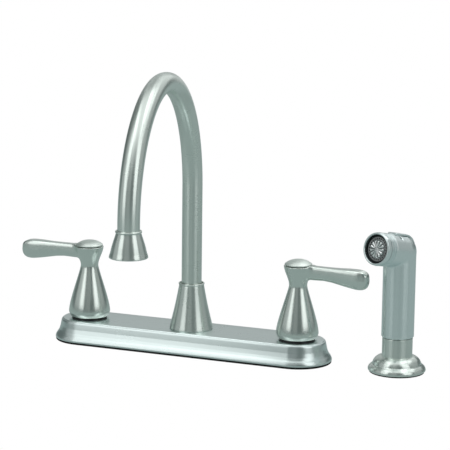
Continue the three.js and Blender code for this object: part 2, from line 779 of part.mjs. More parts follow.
// A flat disc with a ring of holes for the jets.
function aeratorScreen() {
  const radius = aeratorRadius - aeratorWall - 2 * clearance;
  const plate = piercedDisc(radius, screenThickness, screenHoles, screenCircle, screenHole, 6);
  return solid(plate.translate(0, 0, aeratorFoot + 1 + clearance));
}

addPart('spout_tube', spoutTube(), nickel, spout);
addPart('lower_seal_ring', sealRing(sealHeights[0]), rubber, spout);
addPart('upper_seal_ring', sealRing(sealHeights[1]), rubber, spout);

const outlet = new THREE.Group();
outlet.position.y = -reach;
spout.add(outlet);
addPart('outlet_bell', outletBell(), nickel, outlet);
addPart('aerator_housing', aeratorHousing(), chrome, outlet);
addPart('aerator_screen', aeratorScreen(), steel, outlet);
const aeratorSeal = aeratorFoot + aeratorHeight - 1.8 + clearance / 3;
const sealOuter = aeratorRadius - 1.2;
addPart('aerator_washer', ring(tubeRadius - tubeWall, sealOuter, aeratorSeal, aeratorSeal + 0.8), rubber, outlet);

// ---- spray holder ----
const sprayHole = new THREE.Group();
sprayHole.position.set(sprayX, sprayY, 0);
model.add(sprayHole);

// Two-tiered dome, a groove round the neck, and the neck; the threaded shank goes through the deck.
function sprayHolder() {
  const rim = flangeGasket;
  const domeRadius = 8.4;
  const shoulder = arc(flangeCreaseRadius - 9, flangeShoulder - domeRadius, domeRadius, 11, 80, 5);
  return turned([
    [holderBore, -holderShankLength], [holderShankRadius - 0.8, -holderShankLength],
    [holderShankRadius, 0.8 - holderShankLength], [holderShankRadius, rim],
    [flangeRadius - 0.9, rim], [flangeRadius, rim + 1], [flangeRadius, rim + 2.2],
    [flangeRadius - 0.8, rim + 3.9], [flangeCreaseRadius + 0.5, flangeCrease - 0.5],
    [flangeCreaseRadius, flangeCrease], ...shoulder,
    [neckRadius + 0.9, flangeShoulder - 0.1], [neckRadius, flangeShoulder - 0.8],
    [neckRadius, neckTop - 0.4], [neckRadius - 0.4, neckTop], [holderBore, neckTop],
  ], fine);
}

const linerRadius = holderBore - clearance;
const linerFoot = 6 - holderShankLength;
const holderNutTop = washerTop - washerThickness;
addPart('spray_holder', sprayHolder(), nickel, sprayHole);
const flangeSeal = ring(holderShankRadius + clearance, flangeRadius - 1.2, 0, flangeGasket, fine);
addPart('spray_holder_gasket', flangeSeal, rubber, sprayHole);
const holderLiner = ring(linerRadius - linerWall, linerRadius, linerFoot, neckTop - 1);
addPart('spray_holder_liner', holderLiner, palePlastic, sprayHole);
const holderHole = holderShankRadius + clearance;
const holderWasher = ring(holderHole, flangeRadius - 1, holderNutTop, washerTop, fine);
addPart('spray_holder_washer', holderWasher, steel, sprayHole);
const holderNut = hexNut(holderNutFlats, holderShankRadius + clearance, holderNutTop - nutHeight, holderNutTop);
addPart('spray_holder_nut', holderNut, brass, sprayHole);

// ---- hose coupling in the grip's foot ----
const gripFoot = neckTop + clearance;

function hoseCoupling() {
  const grooveFoot = gripFoot + 4;
  return turned([
    [couplingBore, couplingBottom], [couplingRadius - 0.6, couplingBottom],
    [couplingRadius, couplingBottom + 0.6], [couplingRadius, gripFoot + 1],
    [couplingNeck, gripFoot + 1.6], [couplingNeck, grooveFoot + 2.2],
    [couplingRadius, grooveFoot + 2.8], [couplingRadius, couplingTop - 6],
    [couplingNeck, couplingTop - 5.4], [couplingNeck, couplingTop], [couplingBore, couplingTop],
  ]);
}

const clipFoot = gripFoot + 3;
const clip = ring(couplingNeck + clearance, gripBore - clearance / 2, clipFoot, clipFoot + 1.6);
addPart('hose_coupling', hoseCoupling(), brass, sprayHole);
const couplingSeal = ring(couplingNeck + 0.1, couplingRadius, couplingTop - 4.6, couplingTop - 2.6);
addPart('coupling_seal', couplingSeal, rubber, sprayHole);

// ---- hand spray; drawn with its head towards -Y in a turned group ----
const spray = new THREE.Group();
spray.rotation.z = sprayTurn * degree;
sprayHole.add(spray);
addPart('coupling_clip', clip, steel, spray);

// A solid turned about the head's axis; its heights run from the elbow towards the nose.
function headTurned(profile, sides = fine) {
  const geometry = turnedGeometry(profile, sides).rotateX((90 - headTilt) * degree);
  return solid(geometry.translate(0, 0, elbowHeight));
}

// A point in the YZ plane from its place along the head's axis and its distance above that axis.
function headPoint(along, above) {
  const [c, s] = [Math.cos(headTilt * degree), Math.sin(headTilt * degree)];
  return [-along * c + above * s, elbowHeight + along * s + above * c];
}

// Offset line over the head's top, round the elbow and down the grip's back.
function triggerLine(offset, front, foot, bulge) {
  const top = headRadius + offset;
  const back = gripRadius + offset;
  const corner = steps(7).map((t) => {
    const angle = (90 + headTilt * (1 - t) - 90 * t - headTilt * (1 - t) * 2) * degree;
    const radius = blend(top, back, t);
    return [radius * Math.cos(angle), elbowHeight + radius * Math.sin(angle)];
  });
  const lower = steps(4).slice(1).map((t) => {
    return [back + bulge * Math.sin(180 * t * degree), blend(elbowHeight, foot, t)];
  });
  return [headPoint(front, top), ...corner, ...lower];
}

const triggerInner = clearance - triggerDepth;

function trigger() {
  const outer = triggerLine(triggerProud, triggerFront - 1, triggerFoot + 2, triggerBulge);
  const inner = triggerLine(triggerInner, triggerFront, triggerFoot, 0);
  const bar = slab([...outer, ...inner.reverse()], triggerWidth);
  const lugTop = headRadius + triggerInner + 0.4;
  const lugHalf = 2.6;
  const lug = [
    headPoint(pinAlong + lugHalf, lugTop), headPoint(pinAlong + lugHalf, pinAcross),
    headPoint(pinAlong + lugHalf - 1, pinAcross - 1.9), headPoint(pinAlong - lugHalf + 1, pinAcross - 1.9),
    headPoint(pinAlong - lugHalf, pinAcross), headPoint(pinAlong - lugHalf, lugTop),
  ];
  const [pinY, pinZ] = headPoint(pinAlong, pinAcross);
  const hole = rodAlongX(pinRadius + clearance, -triggerWidth, triggerWidth, pinY, pinZ, 12);
  return cut(join(bar, slab(lug, triggerWidth)), hole);
}

// Room for the trigger at rest and pressed: its channel, the same turned about the pin by the
// trigger's swing, and a pocket for the lug.
function triggerChannel() {
  const wide = triggerWidth + 2 * clearance;
  const line = (offset) => triggerLine(offset, triggerFront + 1.2, triggerFoot - 1, 0);
  const room = [...line(triggerProud + 4), ...line(-triggerDepth).reverse()];
  const [pinY, pinZ] = headPoint(pinAlong, pinAcross);
  const [c, s] = [Math.cos(triggerSwing * degree), Math.sin(triggerSwing * degree)];
  const pressed = room.map(([y, z]) => [
    pinY + (y - pinY) * c + (z - pinZ) * s,
    pinZ - (y - pinY) * s + (z - pinZ) * c,
  ]);
  const pocketHalf = 3.6;
  const pocket = [
    headPoint(pinAlong + pocketHalf, headRadius), headPoint(pinAlong + pocketHalf, pinAcross - 2.6),
    headPoint(pinAlong - pocketHalf, pinAcross - 2.6), headPoint(pinAlong - pocketHalf, headRadius),
  ];
  return join(slab(room, wide), slab(pressed, wide), slab(pocket, wide));
}

const innerEnd = gripRadius - valveDepth;

function sprayerBody() {
  const grip = turned([
    [0, gripFoot], [gripRadius - gripChamfer, gripFoot], [gripRadius, gripFoot + gripChamfer],
    [gripRadius, elbowHeight], [0, elbowHeight],
  ], fine);
  const elbow = solid(new THREE.SphereGeometry(gripRadius + 0.1, fine, 12)
    .rotateX(Math.PI / 2).translate(0, 0, elbowHeight));
  const grooves = [headReach - 2.4, headReach - 5].flatMap((at) => [
    [headRadius, at - 0.5], [headRadius - grooveDepth, at - 0.2],
    [headRadius - grooveDepth, at + 0.2], [headRadius, at + 0.5],
  ].reverse());
  const head = headTurned([
    [0, 0], ...[[headRadius, 0]], ...grooves.reverse(), [headRadius, headReach], [0, headReach],
  ]);
  const [pinY, pinZ] = headPoint(pinAlong, pinAcross);
  const seatFloor = headReach - 3;
  return cut(
    join(grip, elbow, head),
    triggerChannel(),
    rodAlongX(pinRadius + clearance / 2, -gripRadius, gripRadius, pinY, pinZ, 12),
    rod(gripBore, gripFoot - 1, gripBoreTop),
    upright(2.4, gripBoreTop - 1, valveAxis, 0, 4, 12),
    rodAlongY(valveBore, innerEnd, gripRadius + 1, valveAxis),
    upright(2.6, valveAxis, elbowHeight, 0, innerEnd + 3, 12),
    headTurned(rodOutline(headBore, 2, headReach + 1), coarse),
    headTurned(rodOutline(noseBore - 0.8, seatFloor, headReach + 1)),
  );
}

// The ring at the nose: a spigot in the head, a ledge for the face and a wall that widens to the lip.
function noseRing() {
  const foot = headReach + clearance;
  const tip = headReach + noseLength;
  const ledge = faceRadius - faceLedge;
  const well = faceRadius + clearance;
  return headTurned([
    [ledge, foot - 2.6], [noseBore - 1.1, foot - 2.6], [noseBore - 1.1, foot],
    [headRadius, foot], [headRadius + 0.1, foot + 1.4], [noseRadius, tip - 0.6], [noseRadius - 0.6, tip],
    [noseBore + 0.3, tip], [noseBore, tip - 0.4], [well, foot + 2.2], [well, foot + 0.6],
    [ledge, foot + 0.6],
  ]);
}

// The face: a disc with jet holes near its edge and a rose of petals round its centre.
function sprayFace() {
  const back = headReach + clearance + 0.9;
  const disc = piercedDisc(faceRadius, 1, jetHoles, jetCircle, jetRadius, 4);
  const half = [
    [1.4, 0.25], [petalReach - 3, 1.05], [petalReach - 0.8, 0.85], [petalReach, 0],
  ];
  const mirrored = half.slice(0, -1).reverse();
  const petal = new THREE.Shape([
    ...half.map(([x, y]) => new THREE.Vector2(x, -y)),
    ...mirrored.map(([x, y]) => new THREE.Vector2(x, y)),
  ]);
  const rose = Array.from({ length: petals }, (_, k) => {
    const leaf = new THREE.ExtrudeGeometry(petal, { depth: 1.4, bevelEnabled: false });
    return leaf.rotateZ(2 * Math.PI * k / petals).translate(0, 0, 0.6);
  });
  const boss = turnedGeometry(rodOutline(2.4, 0.4, 1.8), 12);
  const place = (geometry) => solid(geometry.translate(0, 0, back)
    .rotateX((90 - headTilt) * degree).translate(0, 0, elbowHeight));
  const plate = join(place(disc), ...rose.map(place), place(boss));
  return cut(plate, headTurned(rodOutline(0.9 + clearance / 2, back - 1, back + 3), 10));
}

function faceScrew() {
  const back = headReach + clearance + 0.9;
  return headTurned([
    [0, back - 4], [0.9, back - 4], [0.9, back + 2], [1.9, back + 2], [1.5, back + 2.8], [0, back + 3],
  ], 10);
}

function leverPin() {
  const [y, z] = headPoint(pinAlong, pinAcross);
  const half = Math.sqrt(headRadius ** 2 - (pinAcross + pinRadius) ** 2) - 0.2;
  return rodAlongX(pinRadius, -half, half, y, z, 12);
}

// Pieces of the spray valve, turned about a level axis; heights run from front to back.
function valveTurned(profile, sides = coarse) {
  return solid(turnedGeometry(profile, sides).rotateX(-Math.PI / 2).translate(0, 0, valveAxis));
}

const plungerTip = gripRadius + triggerInner - clearance;
const plungerTravel = (headPoint(pinAlong, pinAcross)[1] - valveAxis) * Math.sin(triggerSwing * degree);
const guideBack = gripRadius - triggerDepth - 3.6;
const collarPlace = guideBack - 2.4 - plungerTravel;
const plungerFront = seatPlace - 1.6 - clearance;
const plunger = valveTurned([
  [0, plungerFront - 1.6], [poppetRadius - 0.4, plungerFront - 1.6], [poppetRadius, plungerFront],
  [plungerRadius, plungerFront], [plungerRadius, collarPlace], [poppetRadius, collarPlace],
  [poppetRadius, collarPlace + 1], [plungerRadius, collarPlace + 1], [plungerRadius, plungerTip],
  [0, plungerTip],
]);
const guide = valveTurned([
  [plungerRadius + clearance, guideBack - 2], [valveBore - 0.15, guideBack - 2],
  [valveBore - 0.15, guideBack], [plungerRadius + clearance, guideBack],
]);
const seat = valveTurned([
  [plungerRadius + 0.7, seatPlace - 1.6], [valveBore - 0.15, seatPlace - 1.6],
  [valveBore - 0.15, seatPlace], [plungerRadius + 0.7, seatPlace],
]);

// An open-coiled spring between the seat and the plunger's collar.
class Helix extends THREE.Curve {
  getPoint(t, target = new THREE.Vector3()) {
    const angle = 2 * Math.PI * springTurns * t;
    const radius = springRadius - springWire;
    const from = seatPlace + springWire + clearance;
    const to = collarPlace - springWire - clearance;
    return target.set(radius * Math.cos(angle), blend(from, to, t), valveAxis + radius * Math.sin(angle));
  }
}

function plungerSpring() {
  const wire = new THREE.Shape(steps(4).map((t) => {
    const angle = 2 * Math.PI * t * 0.8;
    return new THREE.Vector2(springWire * Math.cos(angle), springWire * Math.sin(angle));
  }));
  const options = { steps: 10 * springTurns, extrudePath: new Helix(), bevelEnabled: false };
  return solid(new THREE.ExtrudeGeometry(wire, options));
}

addPart('sprayer_body', sprayerBody(), nickel, spray);
addPart('nose_ring', noseRing(), nickel, spray);
addPart('spray_face', sprayFace(), chrome, spray);
addPart('face_screw', faceScrew(), steel, spray);
addPart('spray_lever', trigger(), nickel, spray);
addPart('lever_pin', leverPin(), steel, spray);
addPart('valve_guide', guide, brass, spray);
addPart('valve_seat', seat, rubber, spray);
addPart('plunger', plunger, palePlastic, spray);
addPart('plunger_spring', plungerSpring(), steel, spray);

export default model;
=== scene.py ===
import json

import bpy
import numpy as np
from mathutils import Matrix, Vector


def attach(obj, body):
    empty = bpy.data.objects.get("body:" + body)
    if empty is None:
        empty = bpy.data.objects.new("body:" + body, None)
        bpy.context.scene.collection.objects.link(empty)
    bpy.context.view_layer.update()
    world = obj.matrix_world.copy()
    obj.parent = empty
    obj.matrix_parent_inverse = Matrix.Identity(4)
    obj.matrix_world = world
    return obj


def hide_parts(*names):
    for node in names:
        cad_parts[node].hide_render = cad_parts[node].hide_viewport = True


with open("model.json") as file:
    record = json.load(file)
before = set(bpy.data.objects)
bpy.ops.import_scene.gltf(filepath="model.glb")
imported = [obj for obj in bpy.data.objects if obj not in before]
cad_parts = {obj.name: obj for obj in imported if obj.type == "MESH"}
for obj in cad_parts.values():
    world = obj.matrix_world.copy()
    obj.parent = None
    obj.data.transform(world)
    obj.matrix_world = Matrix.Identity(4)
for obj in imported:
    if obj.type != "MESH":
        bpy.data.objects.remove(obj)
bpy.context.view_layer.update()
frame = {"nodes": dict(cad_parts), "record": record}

# Every size below is in millimetres; meshes are written in metres.
mm = 0.001
gap = 0.3
weldsPerMillimetre = 10000  # points nearer than this become one

# Heights and places that several pieces share.
shared = {
    "plateTop": 19.9,
    "handleSpacing": 203.2,
    "reach": 206.4,
    "spoutTurn": 9.0,
    "outletTop": 146.5,
    "sprayX": 193.0,
    "sprayY": 2.5,
    "sprayTurn": -22.6,
    "neckTop": 30.7,
    "elbowHeight": 106.4,
    "headTilt": 11.0,
    "headRadius": 14.3,
    "gripRadius": 14.1,
}


# Rounds the corners of an outline, each with a short curve of the given size.
def rounded(outline, size=0.35, count=4, closed=False):
    corners = np.array(outline, float)
    last = len(corners)
    result = []
    for k in range(last):
        here = corners[k]
        if not closed and k in (0, last - 1):
            result.append(here)
            continue
        before, after = corners[k - 1] - here, corners[(k + 1) % last] - here
        lengths = np.linalg.norm(before), np.linalg.norm(after)
        cut = min(size, 0.45 * min(lengths))  # two corners on one short edge don't meet
        start, end = here + before / lengths[0] * cut, here + after / lengths[1] * cut
        for t in np.linspace(0, 1, count + 1):
            result.append((1 - t) ** 2 * start + 2 * t * (1 - t) * here + t * t * end)
    return np.array(result)


# Rows of points to quads, the columns closed into a ring; rows close into a ring as well if asked.
def gridFaces(rows, columns, closedRows):
    index = np.arange(rows * columns).reshape(rows, columns)
    if closedRows:
        index = np.vstack([index, index[:1]])
    beside = np.roll(index, -1, axis=1)
    return np.stack([index[:-1], beside[:-1], beside[1:], index[1:]], -1).reshape(-1, 4)


# A grid of points as a mesh piece. Its UV is in metres: round it, over the length "around", and
# along its rows by their mean distance.
def gridPiece(name, grid, closedRows, around):
    rows, columns, _ = grid.shape
    faces = gridFaces(rows, columns, closedRows)
    along = np.linalg.norm(np.diff(grid, axis=0, append=grid[:1]), axis=2).mean(axis=1).cumsum()
    u = np.arange(columns + 1) / columns * around
    faceRow, faceColumn = np.divmod(np.arange(len(faces)), columns)
    high = np.append(along, along[-1])[faceRow + 1]
    low = along[faceRow]
    left, right = u[faceColumn], u[faceColumn + 1]
    uv = np.stack([left, low, right, low, right, high, left, high], -1).reshape(-1, 4, 2)
    return meshPiece(name, grid.reshape(-1, 3), faces, uv)


# A piece from points in millimetres and quads. Points that fall together are welded, and the
# faces are turned outwards.
def meshPiece(name, points, faces, uv=None):
    keys = np.round(points * weldsPerMillimetre).astype(np.int64)
    _, first, inverse = np.unique(keys, axis=0, return_index=True, return_inverse=True)
    faces = inverse.reshape(-1)[faces]
    points = points[first]
    a, b, c, d = (points[faces[:, k]] for k in range(4))
    volume = (np.cross(a, b) * c).sum() + (np.cross(a, c) * d).sum()
    if volume < 0:
        faces = faces[:, ::-1]
        uv = uv[:, ::-1] if uv is not None else None
    polygons, corners = [], []
    for k, quad in enumerate(faces.tolist()):
        keep = [i for i in range(4) if quad[i] != quad[i - 1]]
        if len({quad[i] for i in keep}) > 2:
            polygons.append([quad[i] for i in keep])
            corners.append((k, keep))
    mesh = bpy.data.meshes.new(name)
    mesh.from_pydata((points * mm).tolist(), [], polygons)
    if uv is not None:
        layer = mesh.uv_layers.new(name="run")
        flat = np.concatenate([uv[k, keep] for k, keep in corners]) * mm
        layer.data.foreach_set("uv", flat.ravel())
    mesh.polygons.foreach_set("use_smooth", [True] * len(mesh.polygons))
    mesh.validate()
    piece = bpy.data.objects.new(name, mesh)
    bpy.context.scene.collection.objects.link(piece)
    return piece


# An outline of (radius, height) turned about Z: (r cos t, r sin t, z).
def turnedGrid(outline, sides):
    angle = np.arange(sides) * 2 * np.pi / sides
    r, z = np.array(outline, float).T
    x, y = np.outer(r, np.cos(angle)), np.outer(r, np.sin(angle))
    return np.stack([x, y, np.repeat(z[:, None], sides, 1)], -1)


# The same round with its two halves drawn apart along X, as a stadium.
def stadiumGrid(outline, half, sides=160):
    quarter = np.linspace(-np.pi / 2, np.pi / 2, sides // 2)
    angle = np.concatenate([quarter, quarter + np.pi])
    side = np.repeat([1.0, -1.0], sides // 2)
    r, z = np.array(outline, float).T
    x = np.outer(r, np.cos(angle)) + side * half
    return np.stack([x, np.outer(r, np.sin(angle)), np.repeat(z[:, None], len(angle), 1)], -1)


# A turned piece whose outline has its corners rounded, moved to its place.
def turnedPiece(name, outline, sides=128, closed=True, place=(0, 0, 0), size=0.35, count=4):
    outline = rounded(outline, size, count, closed)
    grid = turnedGrid(outline, sides) + np.array(place, float)
    return gridPiece(name, grid, closed, around=2 * np.pi * outline[:, 0].max())


# Points turned about an upright line through the centre.
def turnedAbout(points, degrees, centre=(0, 0)):
    c, s = np.cos(np.radians(degrees)), np.sin(np.radians(degrees))
    x, y = points[..., 0], points[..., 1]
    return np.stack([centre[0] + x * c - y * s, centre[1] + x * s + y * c, points[..., 2]], -1)


# Smooth surface where field is zero, as a net of quads with one point in each cell that the
# surface crosses. Each point is then moved onto the surface along the field's slope.
def surfaceNet(field, low, high, step):
    axes = [np.arange(a, b + step, step) for a, b in zip(low, high)]
    value = field(*np.meshgrid(*axes, indexing="ij"))
    inside = value < 0
    size = np.array(inside.shape) - 1
    corner = [
        inside[i:i + size[0], j:j + size[1], k:k + size[2]]
        for i in (0, 1) for j in (0, 1) for k in (0, 1)
    ]
    count = np.sum(corner, axis=0)
    active = (count > 0) & (count < 8)
    index = np.full(active.shape, -1)
    index[active] = np.arange(active.sum())
    cell = np.argwhere(active)
    total, weight = np.zeros((len(cell), 3)), np.zeros(len(cell))
    for axis in range(3):
        for other in ((0, 0), (0, 1), (1, 0), (1, 1)):
            start = np.insert(np.array(other), axis, 0)
            end = np.insert(np.array(other), axis, 1)
            a = value[tuple((cell + start).T)]
            b = value[tuple((cell + end).T)]
            crossed = (a < 0) != (b < 0)
            t = np.where(crossed, a / np.where(crossed, a - b, 1), 0)
            point = start + t[:, None] * (end - start)
            total += point * crossed[:, None]
            weight += crossed
    points = (cell + total / weight[:, None]) * step + np.array(low, float)
    faces = []
    for axis in range(3):
        u, v = (axis + 1) % 3, (axis + 2) % 3
        first = np.take(inside, range(size[axis]), axis)
        second = np.take(inside, range(1, size[axis] + 1), axis)
        edge = np.argwhere(first != second)
        edge = edge[(edge[:, u] > 0) & (edge[:, v] > 0) & (edge[:, u] < size[u]) & (edge[:, v] < size[v])]
        quad = []
        for du, dv in ((0, 0), (1, 0), (1, 1), (0, 1)):
            at = edge.copy()
            at[:, u] -= du
            at[:, v] -= dv
            quad.append(index[tuple(at.T)])
        quad = np.stack(quad, -1)
        outward = first[tuple(edge.T)]
        faces.append(np.where(outward[:, None], quad, quad[:, ::-1]))
    faces = np.concatenate(faces)
    probe = step * 0.02
    tiny = 1e-9
    for _ in range(6):  # Newton's steps, none longer than half a cell
        x, y, z = points.T
        here = field(x, y, z)
        slope = np.stack([
            field(x + probe, y, z) - here, field(x, y + probe, z) - here, field(x, y, z + probe) - here,
        ], -1) / probe
        move = -here[:, None] * slope / np.maximum((slope ** 2).sum(1), 0.05)[:, None]
        length = np.linalg.norm(move, axis=1)
        points = points + move * np.minimum(1, 0.5 * step / np.maximum(length, tiny))[:, None]
    return points, faces


# Smooth least and greatest of two fields, less or more by a sixth of the size times the cube of
# their closeness, so that they meet in a fillet.
def blendMin(a, b, size):
    h = np.maximum(size - np.abs(a - b), 0) / size
    return np.minimum(a, b) - h ** 3 * size / 6


def blendMax(a, b, size):
    return -blendMin(-a, -b, size)


# A socket that can be added and multiplied; each sign makes a Math node.
class Value:
    def __init__(self, tree, socket):
        self.tree = tree
        self.socket = socket

    def maths(self, kind, other):
        return self.tree.node("ShaderNodeMath", {"operation": kind}, [self, other])

    def __add__(self, other):
        return self.maths("ADD", other)

    def __mul__(self, other):
        return self.maths("MULTIPLY", other)

    __radd__ = __add__
    __rmul__ = __mul__


# The nodes of a material or a world: its output, and every other node by the method "node".
class Nodes:
    def __init__(self, owner, output):
        owner.use_nodes = True
        self.tree = owner.node_tree
        self.tree.nodes.clear()
        self.output = self.tree.nodes.new(output)

    # One node of a kind, with its settings and its inputs by place or name.
    def node(self, kind, settings=None, inputs=(), output=0):
        made = self.tree.nodes.new(kind)
        for key, value in (settings or {}).items():
            setattr(made, key, value)
        pairs = inputs.items() if isinstance(inputs, dict) else enumerate(inputs)
        for key, value in pairs:
            self.feed(made.inputs[key], value)
        return Value(self, made.outputs[output])

    def feed(self, socket, value):
        if isinstance(value, Value):
            self.tree.links.new(value.socket, socket)
        else:
            socket.default_value = value


# A material with one surface shader.
class Shader(Nodes):
    def __init__(self, name):
        self.material = bpy.data.materials.new(name)
        super().__init__(self.material, "ShaderNodeOutputMaterial")
        self.surface = self.node("ShaderNodeBsdfPrincipled")
        self.feed(self.output.inputs[0], self.surface)

    def set(self, **inputs):
        sockets = self.surface.socket.node.inputs
        for key, value in inputs.items():
            self.feed(sockets[key.replace("_", " ")], value)

    # Noise over a vector times three scales, about 0 to 1.
    def noise(self, vector, scales, detail):
        stretched = self.node("ShaderNodeVectorMath", {"operation": "MULTIPLY"}, [vector, scales])
        inputs = {"Vector": stretched, "Scale": 1.0, "Detail": detail}
        return self.node("ShaderNodeTexNoise", {}, inputs)

    # The object's own coordinates, in metres.
    def place(self):
        return self.node("ShaderNodeTexCoord", {}, (), "Object")

    # From the first colour to the second by the factor.
    def mixed(self, factor, first, second):
        inputs = {0: factor, 6: (*first, 1), 7: (*second, 1)}
        return self.node("ShaderNodeMix", {"data_type": "RGBA"}, inputs, 2)

    def bump(self, height, distance):
        inputs = {"Strength": 1.0, "Distance": distance, "Height": height}
        return self.node("ShaderNodeBump", {}, inputs)


# Brushed or cast metal: fine scratches along one way and a soft cloud of tone. Scratches of two
# scales follow the piece's own map, and of three the object's coordinates.
def metal(name, colour, dark, rough, scratches, grain=0.000002, anisotropic=0.0):
    shader = Shader(name)
    if len(scratches) == 2:
        followed = shader.node("ShaderNodeUVMap", {"uv_map": "run"})
        scratches = (*scratches, 0)
    else:
        followed = shader.place()
    fine = shader.noise(followed, scratches, 4)
    cloud = shader.noise(shader.place(), (55, 55, 55), 2)
    shader.set(
        Base_Color=shader.mixed(cloud * 0.6 + fine * 0.4, dark, colour),
        Metallic=1.0,
        Roughness=cloud * 0.03 + fine * 0.03 + (rough - 0.03),
        Anisotropic=anisotropic,
        Anisotropic_Rotation=0.25,
        Normal=shader.bump(fine, grain),
    )
    return shader.material


# Rubber or plastic: a fine grain and a slight change of tone.
def moulded(name, colour, dark, rough, grain=0.00003):
    shader = Shader(name)
    scale = 900
    place = shader.place()
    fine = shader.noise(place, (scale, scale, scale), 3)
    cloud = shader.noise(place, (60, 60, 60), 2)
    shader.set(
        Base_Color=shader.mixed(cloud, dark, colour),
        Roughness=fine * 0.12 + (rough - 0.06),
        Normal=shader.bump(fine, grain),
    )
    return shader.material


# Colours are lighter and darker tones of one finish; rough is the roughness of the cast one.
looks = {
    "nickel": ((0.765, 0.825, 0.785), (0.72, 0.785, 0.745)),
    "plate": ((0.755, 0.84, 0.83), (0.715, 0.80, 0.79)),
    "grip": ((0.84, 0.92, 0.92), (0.80, 0.885, 0.885)),
    "rough": 0.24,
    "turnedScratches": (90, 5200),
    "uprightScratches": (120, 120, 4200),
    "plateScratches": (60, 3800, 900),
    "capGrain": (900, 900, 900),
}
rough = looks["rough"]
roundNickel = metal(
    "brushedNickelRound", *looks["nickel"], rough + 0.04, looks["turnedScratches"], anisotropic=0.85)
gripNickel = metal(
    "brushedNickelGrip", *looks["grip"], rough + 0.02, looks["uprightScratches"], anisotropic=0.85)
noseNickel = metal(
    "brushedNickelNose", *looks["grip"], rough, looks["turnedScratches"], anisotropic=0.5)
castNickel = metal("brushedNickelCast", *looks["nickel"], rough, looks["uprightScratches"])
capNickel = metal("brushedNickelCap", *looks["nickel"], rough + 0.2, looks["capGrain"])
flatNickel = metal(
    "brushedNickelFlat", *looks["plate"], rough + 0.04, looks["plateScratches"], grain=0.000001)
slotMaterials = {
    "brushed_nickel": castNickel,
    "chrome": metal("chromePolished", (0.80, 0.81, 0.82), (0.74, 0.75, 0.76), 0.09, (400, 400, 400)),
    "brass": metal("brassTurned", (0.76, 0.58, 0.29), (0.62, 0.45, 0.2), 0.36, (200, 200, 3500)),
    "copper": metal("copperDrawn", (0.78, 0.47, 0.33), (0.6, 0.33, 0.22), 0.34, (60, 2600, 2600)),
    "steel": metal("steelTurned", (0.62, 0.63, 0.64), (0.5, 0.51, 0.52), 0.32, (300, 300, 3000)),
    "black_rubber": moulded("rubberBlack", (0.008, 0.008, 0.008), (0.004, 0.004, 0.004), 0.85),
    "black_plastic": moulded("plasticBlack", (0.02, 0.02, 0.022), (0.012, 0.012, 0.013), 0.42),
    "pale_plastic": moulded("plasticPale", (0.80, 0.80, 0.76), (0.72, 0.71, 0.67), 0.42),
    "ceramic": moulded("ceramicLapped", (0.86, 0.85, 0.81), (0.8, 0.79, 0.75), 0.2, grain=0.000004),
}
slotOfNode = {row["node"]: row["material_slot"] for row in frame["record"]["subparts"]}
for name, node in frame["nodes"].items():
    node.data.materials.clear()
    node.data.materials.append(slotMaterials[slotOfNode[name]])


# A new piece's body, the CAD nodes that it stands for, its slot and its material.
def settle(piece, body, nodes, slot, material=None):
    piece.data.materials.append(material or slotMaterials[slot])
    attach(piece, body)
    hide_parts(*nodes)
    return piece


print("materials made")

# Deck plate and its gasket: radii and heights about the plate's two ends.
plate = {
    "halfWidth": 31.0, "topHalfWidth": 23.9, "foot": 2.0, "lip": 1.1, "wall": 1.6, "underside": 2.4,
    "holeRadius": 12.7, "hubHoleRadius": 12.4, "cornerSize": 0.3, "sharpAngle": 35,
    "gasketHole": 10.7, "gasketHubHole": 7.1, "around": 600,
}
halfSpacing = shared["handleSpacing"] / 2


# The stadium's edge from its top down: the flat top, a narrow ledge, a sloping side that flares and
# turns upright again at its foot, then the inside up again.
def makePlate():
    w, foot, top, edge = plate["halfWidth"], plate["foot"], shared["plateTop"], plate["topHalfWidth"]
    wall, ceiling, size = plate["wall"], shared["plateTop"] - plate["underside"], plate["cornerSize"]
    outer = [
        (0, top), (edge, top), (edge + 0.45, top - 0.75), (edge + 1.05, top - 0.85),
        (edge + 1.6, top - 2.1), (26.5, 12.8), (27.6, 9.2), (28.8, 7.0), (29.8, 5.7), (30.6, 4.3),
        (w, foot + plate["lip"]), (w, foot),
    ]
    inner = [
        (w - wall, foot), (w - wall, foot + 1.4), (w - 2.2 - wall, 5.5), (edge + 1.5 - wall, ceiling),
        (0, ceiling),
    ]
    outline = np.vstack([rounded(outer, size, 3), rounded(inner, size, 2)])
    piece = gridPiece("deckPlate", stadiumGrid(outline, halfSpacing), False, plate["around"])
    ends = plate["holeRadius"]
    cutRounds(piece, [(-halfSpacing, ends), (0, plate["hubHoleRadius"]), (halfSpacing, ends)])
    return piece


# Round holes through a piece, cut with upright cylinders at places along X.
def cutRounds(piece, holes):
    low, high = -5, 60
    for x, radius in holes:
        outline = [(0, low), (radius, low), (radius, high), (0, high)]
        tool = turnedPiece("holeTool", outline, 96, False, (x, 0, 0), 0)
        change = piece.modifiers.new("hole", "BOOLEAN")
        change.object = tool
        change.solver = "EXACT"
        whole = piece.evaluated_get(bpy.context.evaluated_depsgraph_get())
        made = bpy.data.meshes.new_from_object(whole)
        piece.modifiers.clear()
        old, piece.data = piece.data, made
        bpy.data.meshes.remove(old)
        bpy.data.objects.remove(tool)
    piece.data.name = piece.name
    piece.data.materials.clear()
    piece.data.set_sharp_from_angle(angle=np.radians(plate["sharpAngle"]))


settle(makePlate(), "deck_set", ["deck_plate"], "brushed_nickel", flatNickel)


# A flat stadium from the deck to the plate's foot, a gap smaller than the plate.
def makeGasket():
    edge, top, size = plate["halfWidth"] - gap, plate["foot"], plate["cornerSize"]
    outline = [(0, top), (edge - size, top), (edge, top - size), (edge, size), (edge - size, 0), (0, 0)]
    piece = gridPiece("deckGasket", stadiumGrid(outline, halfSpacing), False, plate["around"])
    ends = plate["gasketHole"]
    cutRounds(piece, [(-halfSpacing, ends), (0, plate["gasketHubHole"]), (halfSpacing, ends)])
    return piece


